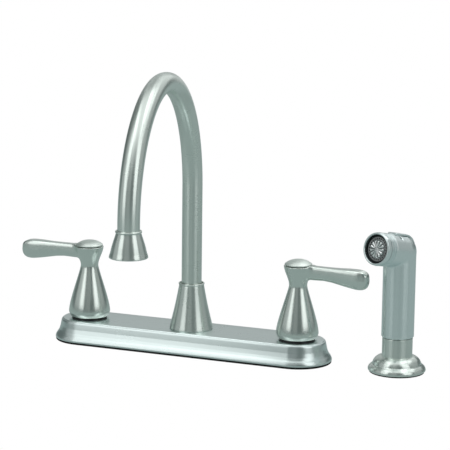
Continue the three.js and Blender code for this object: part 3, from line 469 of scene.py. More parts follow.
settle(makeGasket(), "deck_set", ["deck_gasket"], "black_rubber")
print("deck plate made")

# Spout cone: "hollow" is how far its side is drawn in, "socket" its bore under the shelf.
cone = {
    "base": 19.6, "neck": 11.15, "lip": 11.6, "top": 61.6, "lipHeight": 1.7, "mouth": 10.3,
    "shelf": 57.6, "hollow": 0.45, "socket": 9.4, "socketFoot": 55.9,
}


# A turned shell whose side is a straight line drawn in by a half sine, most half way up.
def makeCone():
    base, top, wide, lip = shared["plateTop"], cone["top"], cone["base"], cone["lip"]
    lipFoot = top - cone["lipHeight"]
    sideFoot, sideTop, sideRadius = base + 1.5, lipFoot - 0.5, wide - 0.15
    side = [
        (sideRadius + (cone["neck"] - sideRadius) * t - cone["hollow"] * np.sin(np.pi * t),
         sideFoot + (sideTop - sideFoot) * t)
        for t in np.linspace(0, 1, 13)
    ]
    return turnedPiece("spoutCone", [
        (wide - 0.4, base), (wide, base + 0.4), *side,
        (cone["neck"] - 0.25, lipFoot - 0.15), (lip, lipFoot + 0.2), (lip, top - 0.4), (lip - 0.4, top),
        (cone["mouth"], top), (cone["mouth"], cone["shelf"]), (cone["socket"], cone["shelf"]),
        (cone["socket"], cone["socketFoot"]), (11.3, cone["socketFoot"]), (11.3, 40), (12.8, 35),
        (wide - 1.7, base + 1.6), (wide - 1.4, base),
    ], 160, size=0.5)


settle(makeCone(), "deck_set", ["spout_cone"], "brushed_nickel", roundNickel)

# Spout tube and outlet. The tube has grooves for its two seals and a collar that holds it down.
spout = {
    "radius": 9.0, "wall": 1.5, "archStart": 148.7, "foot": 28.0, "end": 138.0,
    "collarFoot": 51.5, "collarHeight": 2.5, "collarRadius": 10.3,
    "sealHeights": (32.0, 38.0), "sealWidth": 1.8, "sealDepth": 1.0,
    "outletHeight": 22.0, "outletMouth": 15.7, "bead": 10.7, "beadHeight": 1.8,
    "seat": 137.7, "threadRadius": 11.9, "threadHeight": 12.6,
}


# Riser, half circle and drop: y and z of each point of the path, and the angle turned by there.
def goosePath():
    half, start = shared["reach"] / 2, spout["archStart"]
    riser = [(0, z, 0) for z in np.arange(spout["foot"], start, 0.5)]
    arch = [(-half * (1 - np.cos(t)), start + half * np.sin(t), t) for t in np.linspace(0, np.pi, 181)]
    drop = [(-shared["reach"], z, np.pi) for z in np.linspace(start - 1, spout["end"], 8)]
    return np.array(riser + arch + drop)


# The tube's outside up the path and its bore back down it, each ring square to the path.
def makeTube(sides=96):
    path = goosePath()
    angle = np.arange(sides) * 2 * np.pi / sides
    outer = np.full(len(path), spout["radius"])
    onRiser = path[:, 2] == 0
    for height in spout["sealHeights"]:
        near = np.abs(path[:, 1] - height) < spout["sealWidth"] / 2
        outer[onRiser & near] = spout["radius"] - spout["sealDepth"]
    foot = spout["collarFoot"]
    onCollar = (path[:, 1] > foot) & (path[:, 1] < foot + spout["collarHeight"])
    outer[onRiser & onCollar] = spout["collarRadius"]
    inner = np.full(len(path), spout["radius"] - spout["wall"])
    path = np.vstack([path, path[::-1]])
    radius = np.concatenate([outer, inner[::-1]])
    y, z, t = path.T
    inPlane = np.stack([np.zeros_like(t), np.cos(t), np.sin(t)], -1)
    centre = np.stack([np.zeros_like(t), y, z], -1)
    grid = (
        centre[:, None, :]
        + radius[:, None, None] * np.cos(angle)[None, :, None] * np.array([1.0, 0, 0])
        + radius[:, None, None] * np.sin(angle)[None, :, None] * inPlane[:, None, :]
    )
    grid = turnedAbout(grid, shared["spoutTurn"])
    return gridPiece("spoutTube", grid, True, 2 * np.pi * spout["radius"])


settle(makeTube(), "spout", ["spout_tube"], "brushed_nickel", roundNickel)
outletPlace = turnedAbout(np.array([0, -shared["reach"], 0.0]), shared["spoutTurn"])


# A turned bell with a bead round its top, and inside it a seat for the tube and a thread's room.
def makeOutlet():
    top = shared["outletTop"]
    foot = top - spout["outletHeight"]
    beadFoot = top - spout["beadHeight"]
    mouth, bead = spout["outletMouth"], spout["bead"]
    bore, throat = spout["radius"] + gap, spout["radius"] - spout["wall"]
    thread, threadTop = spout["threadRadius"], foot + spout["threadHeight"]
    return turnedPiece("outletBell", [
        (mouth - 1.6, foot), (mouth - 0.4, foot), (mouth, foot + 0.5), (mouth - 0.2, foot + 1.6),
        (14.6, foot + 4.4), (13.45, foot + 9.2), (12.0, foot + 14.0), (10.9, foot + 17.2),
        (10.15, beadFoot - 0.55), (9.95, beadFoot - 0.25), (bead - 0.2, beadFoot),
        (bead, beadFoot + 0.6), (bead, top - 0.5), (bead - 0.5, top), (bore, top),
        (bore, spout["seat"]), (throat, spout["seat"]), (throat, threadTop), (thread, threadTop - 1),
        (thread, foot + 4), (mouth - 2.8, foot + 2.4),
    ], 160, True, outletPlace, size=0.6, count=5)


settle(makeOutlet(), "spout", ["outlet_bell"], "brushed_nickel", roundNickel)


# A turned cup, a little up inside the bell, that holds the screen.
def makeAerator():
    foot = shared["outletTop"] - spout["outletHeight"] + 1.2
    return turnedPiece("aeratorHousing", [
        (8.8, foot), (11.1, foot), (11.6, foot + 0.5), (11.6, foot + 8.2), (10.6, foot + 9.2),
        (8.0, foot + 9.2), (8.0, foot + 5), (9.8, foot + 5), (9.8, foot + 1), (8.8, foot + 1),
    ], 96, True, outletPlace)


settle(makeAerator(), "spout", ["aerator_housing"], "chrome")
print("spout made")

# Handles: the bell's radii and heights, the lever's end, the cap, and what is bored out inside.
handle = {
    "bellFoot": 21.5, "mouth": 17.0, "belly": 18.8, "bellyHeight": 26.2, "waist": 8.0,
    "waistHeight": 68.6, "fullness": 9.0, "waistRun": 4.5, "rim": 12.8, "rimHeight": 86.4,
    "rimRound": 0.7, "footRound": 0.5, "shoulderTop": 87.2, "shoulderRadius": 15, "fillet": 5.0,
    "leverLength": 66.7, "tipRun": 12, "tipSquareness": 2.9, "tipHeight": 79.0,
    "faceSquareness": 6.0, "faceTaper": 0.12, "undersideSquareness": 2.1,
    "cavityHeights": (22, 28.4, 40.5, 55), "cavityRadii": (15.8, 16.1, 12.9, 7.6),
    "stemBore": 4.9, "stemTop": 73.3, "screwBore": 3.8, "screwFoot": 73, "plugBore": 6.9, "plugFoot": 76,
    "capRadius": 12.1, "capRise": 5.0, "capEdge": 1.0, "capFullness": 2.5, "capRoom": 0.35,
    "plugRadius": 6.6, "plugDepth": 4, "capAround": 76,
    "ringBore": 12.7, "ringRadius": 15.9, "ringHeight": 1.3,
    "restTurn": {"hot": 2.2, "cold": -4.7}, "step": 0.62,
}
far = 9  # a distance field's value where a rule doesn't hold


# The fall from the belly to the waist: a cubic curve, upright at both ends.
def bellFall():
    t = np.linspace(0, 1, 400)
    weights = np.array([(1 - t) ** 3, 3 * t * (1 - t) ** 2, 3 * t ** 2 * (1 - t), t ** 3])
    belly, waist = handle["belly"], handle["waist"]
    foot, end = handle["bellyHeight"], handle["waistHeight"]
    heights = np.array([foot, foot + handle["fullness"], end - handle["waistRun"], end])
    return heights @ weights, np.array([belly, belly, waist, waist]) @ weights


fallHeights, fallRadii = bellFall()


# Radius of the bell at a height: its mouth swells to the belly in a quarter sine, falls to the
# waist, and flares to the rim in an S.
def bellRadius(z):
    up = np.clip((z - handle["bellFoot"]) / (handle["bellyHeight"] - handle["bellFoot"]), 0, 1)
    mouth = handle["mouth"] + (handle["belly"] - handle["mouth"]) * np.sin(up * np.pi / 2)
    fall = np.interp(z, fallHeights, fallRadii)
    t = np.clip((z - handle["waistHeight"]) / (handle["rimHeight"] - handle["waistHeight"]), 0, 1)
    flare = handle["waist"] + (handle["rim"] - handle["waist"]) * t * t * (3 - 2 * t)
    return np.where(z < handle["bellyHeight"], mouth, np.where(z < handle["waistHeight"], fall, flare))


# Lever stations: distance from the handle's axis, height of its top and of its underside, and
# its width.
leverStations = np.array([
    (0.0, 86.4, 74.8, 10.4), (8.0, 86.9, 74.6, 10.2), (15.0, 87.2, 74.6, 9.8), (25.0, 87.2, 75.0, 9.5),
    (33.0, 87.3, 74.3, 10.0), (40.0, 87.5, 73.0, 11.2), (48.0, 87.9, 71.6, 12.7), (55.0, 88.0, 70.6, 13.5),
    (62.0, 87.9, 70.3, 13.5), (70.0, 87.6, 70.3, 13.5),
])


# The lever's section is a superellipse, nearly flat-sided above its middle and round below, and
# its height closes over the tip as a superellipse too.
def leverField(x, y, z):
    at, top, low, wide = leverStations.T
    highHere, lowHere, wideHere = (np.interp(x, at, row) for row in (top, low, wide))
    run, roundness = handle["tipRun"], handle["tipSquareness"]
    t = np.clip((x - (handle["leverLength"] - run)) / run, 0, 1)
    close = (1 - t ** roundness) ** (1 / roundness)
    middle = (highHere + lowHere) / 2 + (handle["tipHeight"] - (highHere + lowHere) / 2) * t
    tall = (highHere - lowHere) / 2 * close + 0.01
    half = wideHere / 2 * np.maximum(close, 0.2)
    rise = (z - middle) / tall
    square = np.where(rise > 0, handle["faceSquareness"], handle["undersideSquareness"])
    half = half * (1 - handle["faceTaper"] * np.clip(rise, 0, 1))
    norm = (np.abs(rise) ** square + (np.abs(y) / half) ** square) ** (1 / square)
    return np.maximum((norm - 1) * np.minimum(tall, half), x - handle["leverLength"])


# The bell and the lever run together in a fillet; the cap's recess, the cavity below and the bores
# for the stem, the screw and the cap's plug are taken out of them.
def handleField(x, y, z):
    radius = np.hypot(x, y)
    probe = 0.05
    reach = bellRadius(z)
    slope = (bellRadius(z + probe) - reach) / probe
    bell = (radius - reach) / np.sqrt(1 + slope ** 2)
    bell = blendMax(bell, z - handle["rimHeight"], handle["rimRound"])
    bell = blendMax(bell, handle["bellFoot"] - z, handle["footRound"])
    lever = np.maximum(leverField(x, y, z), 2.0 - x)
    whole = blendMin(bell, lever, handle["fillet"])
    shoulder = np.where(radius < handle["shoulderRadius"], z - handle["shoulderTop"], -far)
    whole = np.maximum(whole, shoulder)
    recess = np.maximum(radius - handle["capRadius"] - handle["capRoom"], handle["rimHeight"] - 0.4 - z)
    cavityRadius = np.interp(z, handle["cavityHeights"], handle["cavityRadii"])
    cavity = np.maximum((radius - cavityRadius) * 0.9, z - handle["cavityHeights"][-1])
    stemHole = np.maximum(radius - handle["stemBore"], z - handle["stemTop"])
    screwHole = np.maximum(radius - handle["screwBore"], handle["screwFoot"] - z)
    plugHole = np.maximum(radius - handle["plugBore"], handle["plugFoot"] - z)
    inner = np.minimum(np.minimum(cavity, stemHole), np.minimum(screwHole, plugHole))
    return np.maximum(np.maximum(whole, -inner), -recess)


handlePoints, handleFaces = surfaceNet(
    handleField, (-19.6, -19.6, 21.4), (handle["leverLength"] + 1.2, 19.6, 89.4), handle["step"])


# The handle is drawn with its lever along +X; the hot one is turned half round.
def makeHandle(heat, side):
    points = handlePoints * np.array([side, side, 1.0])
    points = turnedAbout(points, handle["restTurn"][heat])
    points = points + np.array([side * halfSpacing, 0, 0])
    return meshPiece(heat + "Handle", points, handleFaces)


# A turned dome that falls from its top by the distance out to the power "capFullness", with a plug
# below that sits in the handle.
def makeCap(name, x):
    foot, plug = handle["rimHeight"] + gap, handle["plugRadius"]
    edge, rise = handle["capRadius"], handle["capRise"] - handle["capEdge"]
    dome = [
        (edge * t, foot + handle["capEdge"] + rise * (1 - t ** handle["capFullness"]))
        for t in np.linspace(1, 0, 24)
    ]
    plugFoot = foot - handle["plugDepth"]
    outline = [(0, plugFoot), (plug, plugFoot), (plug, foot), (edge - 0.3, foot), (edge, foot + 0.3)]
    outline = np.vstack([rounded(outline + [dome[0], dome[1]], 0.3, 3), dome[2:]])
    grid = turnedGrid(outline, 128) + np.array([x, 0, 0])
    return gridPiece(name, grid, False, handle["capAround"])


# A flat ring under the bell, turned.
def makeBaseRing(name, x):
    foot, inner, outer = shared["plateTop"], handle["ringBore"], handle["ringRadius"]
    top = foot + handle["ringHeight"]
    return turnedPiece(name, [(inner, foot), (outer, foot), (outer, top), (inner, top)], place=(x, 0, 0))


for heat, side in (("hot", -1), ("cold", 1)):
    x, body = side * halfSpacing, heat + "_handle_set"
    settle(makeHandle(heat, side), body, [heat + "_handle"], "brushed_nickel", castNickel)
    settle(makeCap(heat + "HandleCap", x), body, [heat + "_handle_cap"], "brushed_nickel", capNickel)
    settle(makeBaseRing(heat + "BaseRing", x), "deck_set", [heat + "_base_ring"], "black_plastic")
print("handles made")

# Spray holder and its gasket: a flange in two tiers, a neck, and a shank through the deck.
sprayCentre = (shared["sprayX"], shared["sprayY"], 0)
holder = {
    "bore": 11.0, "shank": 15.0, "shankEnd": -42.0, "flange": 25.1, "shoulder": 14.4, "crease": 7.0,
    "creaseRadius": 22.0, "neck": 13.2, "domeMiddle": 13.0, "domeRadius": 8.4, "gasket": 1.0,
    "gasketBore": 15.3, "gasketRadius": 23.9,
}


# A turned piece whose upper tier is a quarter round of "domeRadius" about "domeMiddle".
def makeHolder():
    crease, size, shoulder = holder["crease"], holder["domeRadius"], holder["shoulder"]
    dome = [
        (holder["domeMiddle"] + size * np.cos(t), shoulder - size + size * np.sin(t))
        for t in np.radians(np.linspace(11, 80, 12))
    ]
    shank, end, bore, foot = holder["shank"], holder["shankEnd"], holder["bore"], holder["gasket"]
    edge, neck, top, inner = holder["flange"], holder["neck"], shared["neckTop"], holder["creaseRadius"]
    return turnedPiece("sprayHolder", [
        (bore, end), (shank - 0.8, end), (shank, end + 0.8), (shank, foot), (edge - 0.9, foot),
        (edge, foot + 1), (edge, 3.2), (edge - 0.8, 4.9), (inner + 0.6, crease - 0.5),
        (inner - 0.1, crease - 0.1), *dome, (neck + 0.9, shoulder - 0.1), (neck, shoulder - 0.8),
        (neck, top - 0.4), (neck - 0.4, top), (bore, top),
    ], 160, True, sprayCentre, size=0.5)


# A flat ring under the flange.
def makeHolderGasket():
    inner, outer, top = holder["gasketBore"], holder["gasketRadius"], holder["gasket"]
    outline = [(inner, 0), (outer, 0), (outer, top), (inner, top)]
    return turnedPiece("sprayHolderGasket", outline, place=sprayCentre)


settle(makeHolder(), "deck_set", ["spray_holder"], "brushed_nickel", roundNickel)
settle(makeHolderGasket(), "deck_set", ["spray_holder_gasket"], "black_rubber")

# Hand spray: the casting's foot, head and nose, its bores, and the channel and pin of its lever.
spray = {
    "foot": 31.0, "chamfer": 1.0, "elbowRadius": 14.2, "elbowFillet": 0.6, "headFillet": 1.4,
    "edgeRound": 0.35, "headReach": 27.6, "bandFoot": 20.8, "bandBore": 11.6,
    "grooves": (5.0, 2.4), "grooveDepth": 0.9,
    "noseLength": 5.2, "noseRadius": 14.0, "noseBore": 12.4, "noseWell": 12.0, "noseLedge": 9.7,
    "gripBore": 8.6, "gripBoreTop": 76, "valveBore": 4.6, "valveHeight": 95, "valveReach": 7.9,
    "headBore": 7.4, "headBoreFoot": 2,
    "triggerWidth": 10.0, "triggerDepth": 1.3, "triggerProud": 1.0, "triggerFront": 14.5,
    "triggerFoot": 84.0, "triggerBulge": 0.6, "triggerRound": 1.2, "triggerSwing": 6.0,
    "lugWidth": 10.0, "lugLength": 5.2, "lugFoot": 9.5,
    "pinAlong": 11.0, "pinAcross": 11.3, "pinRadius": 1.25, "pinHole": 1.4,
    "step": 0.55, "triggerStep": 0.42, "headAround": 90,
}
tilt = np.radians(shared["headTilt"])


# Place along the head's axis and distance above it.
def headCoordinates(y, z):
    above = z - shared["elbowHeight"]
    return -y * np.cos(tilt) + above * np.sin(tilt), y * np.sin(tilt) + above * np.cos(tilt)


# The same the other way: y and z of a place on the head.
def headPoint(along, above):
    return (
        -along * np.cos(tilt) + above * np.sin(tilt),
        shared["elbowHeight"] + along * np.sin(tilt) + above * np.cos(tilt),
    )


# How far a point stands off the skin that the trigger follows: over the head's top, round the
# elbow, and down the grip's back.
def skinOffset(y, z):
    along, above = headCoordinates(y, z)
    corner = np.hypot(y, z - shared["elbowHeight"]) - spray["elbowRadius"]
    back = y - shared["gripRadius"]
    behind = np.where(z < shared["elbowHeight"], back, corner)
    return np.where(along > 0, above - shared["headRadius"], behind)


# The lever's channel: as deep as the lever under the skin, and a gap wider than it.
def channelField(x, y, z):
    along, _ = headCoordinates(y, z)
    depth, half = spray["triggerDepth"], spray["triggerWidth"] / 2
    room = np.maximum(-depth - skinOffset(y, z), np.abs(x) - half - gap)
    front = along - spray["triggerFront"] - spray["triggerRound"]
    room = np.maximum(room, np.where(z > shared["elbowHeight"], front, -far))
    return np.maximum(room, np.where(y > 0, spray["triggerFoot"] - 1 - z, -far))


# An upright round grip and a tilted round head meet round a ball at the elbow. The channel, at
# rest and swung in, the lug's pocket, the pin's hole and the bores are taken out.
def sprayField(x, y, z):
    along, above = headCoordinates(y, z)
    axial = z - shared["elbowHeight"]
    radius = np.hypot(x, y)
    grip = radius - shared["gripRadius"]
    chamfer = np.maximum(radius - (shared["gripRadius"] - spray["chamfer"]), 0)
    grip = blendMax(grip, spray["foot"] - z + chamfer, 0.3)
    grip = np.maximum(grip, axial)
    elbow = np.sqrt(x ** 2 + y ** 2 + axial ** 2) - spray["elbowRadius"]
    head = np.hypot(x, above) - shared["headRadius"]
    head = np.maximum(np.maximum(head, -along), along - spray["bandFoot"])
    whole = blendMin(blendMin(grip, head, spray["headFillet"]), elbow, spray["elbowFillet"])
    pinY, pinZ = headPoint(spray["pinAlong"], spray["pinAcross"])
    swing = np.radians(spray["triggerSwing"])
    c, s = np.cos(swing), np.sin(swing)
    turnedY = pinY + (y - pinY) * c - (z - pinZ) * s
    turnedZ = pinZ + (y - pinY) * s + (z - pinZ) * c
    channel = np.minimum(channelField(x, y, z), channelField(x, turnedY, turnedZ))
    lugWide, lugLong = spray["lugWidth"] / 2 + gap, spray["lugLength"] / 2 + 1
    pocket = np.maximum(np.abs(along - spray["pinAlong"]) - lugLong, spray["lugFoot"] - 0.8 - above)
    pocket = np.maximum(np.abs(x) - lugWide, pocket)
    pin = np.hypot(y - pinY, z - pinZ) - spray["pinRadius"]
    gripBore = np.maximum(radius - spray["gripBore"], z - spray["gripBoreTop"])
    valveBore = np.hypot(x, z - spray["valveHeight"]) - spray["valveBore"]
    valveBore = np.maximum(valveBore, -spray["valveReach"] - y)
    headBore = np.maximum(np.hypot(x, above) - spray["headBore"], spray["headBoreFoot"] - along)
    hollow = np.minimum(np.minimum(gripBore, valveBore), headBore)
    hollow = np.minimum(np.minimum(hollow, pin), np.minimum(channel, pocket))
    return blendMax(whole, -hollow, spray["edgeRound"])


# A piece drawn with the head towards -Y, turned about the spray's axis to where it stands.
def inSprayPlace(points):
    return turnedAbout(points, shared["sprayTurn"], sprayCentre[:2])


# A cast piece of the spray from its field, within a box given by two corners.
def castPiece(name, field, low, high, step, node, body):
    points, faces = surfaceNet(field, low, high, step)
    piece = meshPiece(name, inSprayPlace(points), faces)
    settle(piece, body, [node], "brushed_nickel", gripNickel)


castPiece("sprayerBody", sprayField, (-15.6, -30.6, 30.0), (15.6, 16.2, 127.5), spray["step"],
          "sprayer_body", "hand_spray")
print("sprayer body made")


# Outline turned about the head's axis: heights run from the elbow towards the nose.
def headPiece(name, outline, sides, closed, slot, node, material=None, size=0.3):
    grid = onHead(turnedGrid(rounded(outline, size, 4, closed), sides))
    piece = gridPiece(name, grid, closed, spray["headAround"])
    settle(piece, "hand_spray", [node], slot, material)


# A grid about +Z laid along the head's axis.
def onHead(grid):
    x, across, along = grid[..., 0], grid[..., 1], grid[..., 2]
    y, z = headPoint(along, across)
    return inSprayPlace(np.stack([x, y, z], -1))


# The front of the head as a turned piece of its own, so that its two grooves stay crisp; it
# butts on the rest of the casting, which ends at the band's foot.
def bandOutline():
    foot, front, outer = spray["bandFoot"], spray["headReach"], shared["headRadius"]
    inner, bore, deep = spray["bandBore"], spray["headBore"], spray["grooveDepth"]
    outline = [(bore, foot), (outer, foot)]
    for behind in spray["grooves"]:
        at = front - behind
        outline += [(outer, at - 0.5), (outer - deep, at - 0.3), (outer - deep, at + 0.3), (outer, at + 0.5)]
    return outline + [(outer, front), (inner, front), (inner, front - 3), (bore, front - 3)]


noseFoot = spray["headReach"] + gap


# The nose ring swells a little from its foot, and its bore steps in to a ledge behind the face.
def noseOutline():
    foot, tip = noseFoot, spray["headReach"] + spray["noseLength"]
    outer, bore, well, ledge = (spray[key] for key in ("noseRadius", "noseBore", "noseWell", "noseLedge"))
    return [
        (ledge, foot - 2.6), (bore - 1.1, foot - 2.6), (bore - 1.1, foot), (outer, foot),
        (outer + 0.3, foot + 0.4), (outer + 0.4, foot + 1.6), (outer, tip - 0.6), (outer - 0.6, tip),
        (bore + 0.3, tip), (bore, tip - 0.4), (well, foot + 1.8), (well, foot + 0.6), (ledge, foot + 0.6),
    ]


headPiece("sprayerBand", bandOutline(), 160, True, "brushed_nickel", "sprayer_body", noseNickel, 0.15)
headPiece("noseRing", noseOutline(), 160, True, "brushed_nickel", "nose_ring", noseNickel)

# Spray face: radii in millimetres; "discTone" is how bright the disc is beside its petals, and "dark" is the
# painted shade in the jet holes and in the recess beyond "discRadius".
face = {
    "radius": 11.7, "petals": 13, "petalReach": 7.9, "petalRise": 1.5, "hubRise": 0.55, "holes": 24,
    "holeCircle": 9.1, "holeRadius": 0.6, "holeDepth": 1.2, "holeEdge": 0.15, "discRadius": 10.4,
    "discTone": 0.3, "bore": 1.1, "thickness": 1.3, "sides": 480, "around": 75,
    # dark: the colour of the painted shade in the jet holes and the recess, and the dark end of the disc's
    # tone
    "dark": (0.02, 0.025, 0.025), "bright": (0.88, 0.9, 0.9),
}


# How far a place on the face belongs to a petal, 0 to 1: a cosine round the face, to a power,
# times a body that fades out towards the centre and the petals' ends.
def petalShape(r, t):
    body = np.clip((face["petalReach"] - r) / 1.4, 0, 1) * np.clip(r / 2.0, 0, 1)
    return np.abs(np.cos(t * face["petals"] / 2)) ** 0.6 * body ** 0.5


# Distance to the nearest jet hole's centre, along and across its circle.
def holeDistance(r, t):
    step = 2 * np.pi / face["holes"]
    offset = (t + step / 2) % step - step / 2
    return np.hypot(r - face["holeCircle"], face["holeCircle"] * offset)


# The face's front rises in rounded petals about its centre, and a ring of small holes dips in
# beyond them; its back is flat.
def makeFace():
    back, bore, edge, sides = noseFoot + 0.9, face["bore"], face["radius"], face["sides"]
    inner, ring, outer = np.linspace(0, 8.3, 36), np.linspace(8.4, 10.0, 22), np.linspace(10.2, edge, 5)
    radii = np.concatenate([inner, ring, outer])
    r, t = np.meshgrid(radii, np.arange(sides) * 2 * np.pi / sides, indexing="ij")
    hub = face["hubRise"] * np.clip(face["petalReach"] - r, 0, 1)
    inHole = np.clip((face["holeRadius"] - holeDistance(r, t)) / face["holeEdge"], 0, 1)
    rise = face["petalRise"] * petalShape(r, t) + hub - face["holeDepth"] * inHole
    front = np.stack([r * np.cos(t), r * np.sin(t), back + face["thickness"] + rise], -1)
    rim = turnedGrid([(edge, back + 1.0), (edge, back), (bore, back), (bore, back + 1.0)], sides)
    front[0] = turnedGrid([(bore, back + 1.9)], sides)[0]
    kept = (radii > bore) | (radii == 0)
    piece = gridPiece("sprayFace", onHead(np.vstack([front[kept], rim])), True, face["around"])
    markPetalsAndPaintedShade(piece)
    return piece


# Writes how bright each point of the face is to its attribute, from where the point lies: 1 on the petals,
# discTone on the disc, and 0, painted shade, in the jet holes and in the recess beyond discRadius.
def markPetalsAndPaintedShade(piece):
    place = np.empty(3 * len(piece.data.vertices))
    piece.data.vertices.foreach_get("co", place)
    place = turnedAbout(place.reshape(-1, 3) / mm - np.array(sprayCentre), -shared["sprayTurn"])
    _, above = headCoordinates(place[:, 1], place[:, 2])
    r, t = np.hypot(place[:, 0], above), np.arctan2(above, place[:, 0])
    # Painted shade: tone 0, dark, in the jet holes and in the recess beyond discRadius; the rest of the disc
    # gets discTone
    discToneWithShade = face["discTone"] * (r < face["discRadius"]) * (holeDistance(r, t) > face["holeRadius"])
    petal = np.clip((petalShape(r, t) - 0.45) / 0.2, 0, 1)
    tone = piece.data.attributes.new("petal", "FLOAT", "POINT")
    tone.data.foreach_set("value", np.maximum(petal, discToneWithShade))


# Bright petals on a darker disc, with painted shade in the jet holes and in the recess round the disc's
# edge, told apart by the piece's own attribute.
def faceMetalWithPaintedShade():
    shader = Shader("faceChromeWithPaintedShade")
    petal = shader.node("ShaderNodeAttribute", {"attribute_name": "petal"}, (), 2)
    fine = shader.noise(shader.place(), (900, 900, 900), 3)
    shader.set(
        # Where the attribute is 0, in the jet holes and the recess, this gives the painted shade colour dark
        Base_Color=shader.mixed(petal * (fine * 0.1 + 0.95), face["dark"], face["bright"]),
        Metallic=1.0,
        Roughness=fine * 0.06 + 0.12,
    )
    return shader.material


settle(makeFace(), "hand_spray", ["spray_face"], "chrome", faceMetalWithPaintedShade())
headPiece("faceScrew", [
    (0, noseFoot - 3.1), (0.9, noseFoot - 3.1), (0.9, noseFoot + 2.9), (1.9, noseFoot + 2.9),
    (1.5, noseFoot + 3.7), (0, noseFoot + 3.9),
], 48, False, "chrome", "face_screw")


# The thumb lever: a strip that follows the skin, a little proud of it, with a lug at its pin.
def triggerField(x, y, z):
    along, above = headCoordinates(y, z)
    offset = skinOffset(y, z)
    elbow, foot, size = shared["elbowHeight"], spray["triggerFoot"], spray["triggerRound"]
    down = np.clip((elbow - z) / (elbow - foot - 2), 0, 1)
    swell = spray["triggerBulge"] * np.sin(np.pi * down)
    bar = blendMax(offset - spray["triggerProud"] - swell, -offset - spray["triggerDepth"] + gap, 0.8)
    bar = blendMax(bar, np.abs(x) - spray["triggerWidth"] / 2, 1.4)
    bar = blendMax(bar, np.where(z > elbow, along - spray["triggerFront"] + 0.4, -far), size)
    bar = blendMax(bar, np.where(y > 0, foot + 0.8 - z, -far), size)
    bar = np.where((y < 0) & (z < elbow), far, bar)
    lug = np.maximum(np.abs(along - spray["pinAlong"]) - spray["lugLength"] / 2, spray["lugFoot"] - above)
    lug = np.maximum(np.abs(x) - spray["lugWidth"] / 2, lug)
    lug = np.maximum(lug, above - shared["headRadius"])
    pinY, pinZ = headPoint(spray["pinAlong"], spray["pinAcross"])
    hole = np.hypot(y - pinY, z - pinZ) - spray["pinHole"]
    return np.maximum(np.minimum(bar, lug), -hole)


castPiece("sprayLever", triggerField, (-6.2, -18.6, 82.0), (6.2, 19.0, 126.0), spray["triggerStep"],
          "spray_lever", "lever")
print("hand spray made")

# Camera: focal length in pixels, scale in pixels to the millimetre, angles in degrees, and the
# place that it looks at in millimetres across and up.
view = {
    "pixels": 450, "focal": 2000.0, "azimuth": 22.1, "elevation": 10.6, "roll": 0.7,
    "across": 30.7, "up": 111.9, "scale": 1.108,
}


# The camera looks along forward; its right and up are turned by the roll, and it stands so that
# the point (across, up) in its own plane lies at the image's centre.
def makeCamera():
    a, e, roll = (np.radians(view[key]) for key in ("azimuth", "elevation", "roll"))
    forward = np.array([-np.sin(a) * np.cos(e), np.cos(a) * np.cos(e), -np.sin(e)])
    right = np.array([np.cos(a), np.sin(a), 0])
    up = np.cross(right, forward)
    right, up = np.cos(roll) * right + np.sin(roll) * up, np.cos(roll) * up - np.sin(roll) * right
    distance = view["focal"] / view["scale"]
    place = (view["across"] * right + view["up"] * up - distance * forward) * mm
    data = bpy.data.cameras.new("camera")
    data.sensor_width = 36
    data.lens = view["focal"] * data.sensor_width / view["pixels"]
    data.clip_end = 20
    camera = bpy.data.objects.new("camera", data)
    axes = Matrix((right, up, -forward)).transposed()
    camera.matrix_world = Matrix.Translation(Vector(place)) @ axes.to_4x4()
    bpy.context.scene.collection.objects.link(camera)
    bpy.context.scene.camera = camera
    return right, forward


cameraRight, cameraForward = makeCamera()

# Light: tones of the floor and the surroundings, and the soft boxes round the object. Sizes here
# are in metres and powers in watts.
light = {
    "cameraWhite": 1.0, "mirroredFloor": 0.4, "mirroredWorld": 0.15, "world": 0.15,
    "shade": (0.84, 1.0, 0.98), "floor": 0.55, "floorSize": 6.0, "floorRough": 0.9, "aimHeight": 0.12,
    "boxes": [
        # azimuth in degrees, height, width, tall side, power and distance
        (-50, 0.65, 0.60, 1.04, 2.15, 1.1), (-82, 0.62, 0.7, 1.1, 0.8, 1.1),
        (47, 0.66, 0.66, 1.0, 2.4, 1.1), (90, 0.62, 0.9, 1.1, 0.8, 1.1),
        (-10, 0.62, 0.56, 1.1, 0.3, 1.1), (180, 0.6, 1.3, 1.1, 1.5, 1.1),
        (-60, 1.4, 0.8, 0.8, 1.7, 0.75), (0, 1.55, 1.7, 1.5, 7.0, 0.05),
        (10, 1.35, 1.2, 0.7, 0.9, 0.85), (105, 1.35, 1.0, 0.9, 3.0, 0.75),
        (140, 0.88, 1.1, 0.86, 1.5, 1.1),
    ],
}


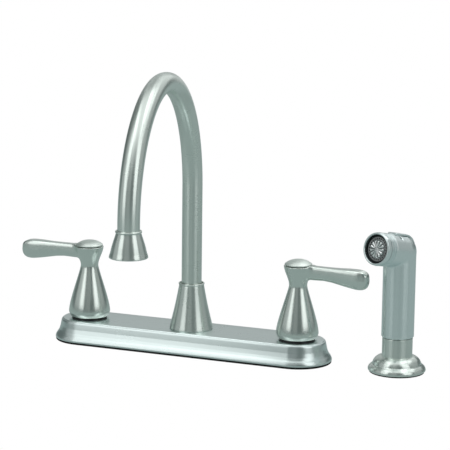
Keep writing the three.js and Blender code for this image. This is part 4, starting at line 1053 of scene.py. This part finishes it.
# White to the camera, a greyer tone of it to metal and glass, and lit as it is to everything else.
def backdrop(nodes, kind, plain, mirrored):
    white = nodes.node(kind, {}, [(1, 1, 1, 1), light["cameraWhite"]])
    grey = nodes.node(kind, {}, [(*light["shade"], 1), mirrored])
    shown = plain
    for ray, tone in (("Is Transmission Ray", grey), ("Is Glossy Ray", grey), ("Is Camera Ray", white)):
        share = nodes.node("ShaderNodeLightPath", {}, (), ray)
        shown = nodes.node("ShaderNodeMixShader", {}, [share, shown, tone])
    nodes.feed(nodes.output.inputs[0], shown)


# A flat square at the deck's height.
def makeFloor():
    data = bpy.data.meshes.new("floor")
    size = light["floorSize"]
    corners = [(-size, -size, 0), (size, -size, 0), (size, size, 0), (-size, size, 0)]
    data.from_pydata(corners, [], [(0, 1, 2, 3)])
    floor = bpy.data.objects.new("floor", data)
    shader = Shader("floorPaper")
    colour = tuple(light["floor"] * part for part in light["shade"])
    shader.set(Base_Color=(*colour, 1), Roughness=light["floorRough"])
    backdrop(shader, "ShaderNodeEmission", shader.surface, light["mirroredFloor"])
    data.materials.append(shader.material)
    bpy.context.scene.collection.objects.link(floor)


# The surroundings: an even tone that lights the object a little.
def makeWorld():
    world = bpy.data.worlds.new("studio")
    nodes = Nodes(world, "ShaderNodeOutputWorld")
    around = nodes.node("ShaderNodeBackground", {}, [(*light["shade"], 1), light["world"]])
    backdrop(nodes, "ShaderNodeBackground", around, light["mirroredWorld"])
    bpy.context.scene.world = world


# An area light at an azimuth from the camera's side and a distance from the axis, facing the object.
def makeBox(name, azimuth, height, wide, tall, power, distance):
    data = bpy.data.lights.new(name, "AREA")
    data.shape = "RECTANGLE"
    data.size, data.size_y = wide, tall
    data.energy = power
    box = bpy.data.objects.new(name, data)
    turn = np.radians(azimuth)
    back = -np.array([cameraForward[0], cameraForward[1], 0])
    back = back / np.linalg.norm(back)
    side = np.array([cameraRight[0], cameraRight[1], 0])
    side = side / np.linalg.norm(side)
    place = (back * np.cos(turn) + side * np.sin(turn)) * distance
    box.location = (place[0], place[1], height)
    aim = Vector((0, 0, light["aimHeight"])) - box.location
    box.rotation_euler = aim.to_track_quat("-Z", "Y").to_euler()
    bpy.context.scene.collection.objects.link(box)


makeFloor()
makeWorld()
for k, box in enumerate(light["boxes"]):
    makeBox("softBox%d" % (k + 1), *box)

bpy.context.scene.view_settings.view_transform = "Standard"
print("stage made")
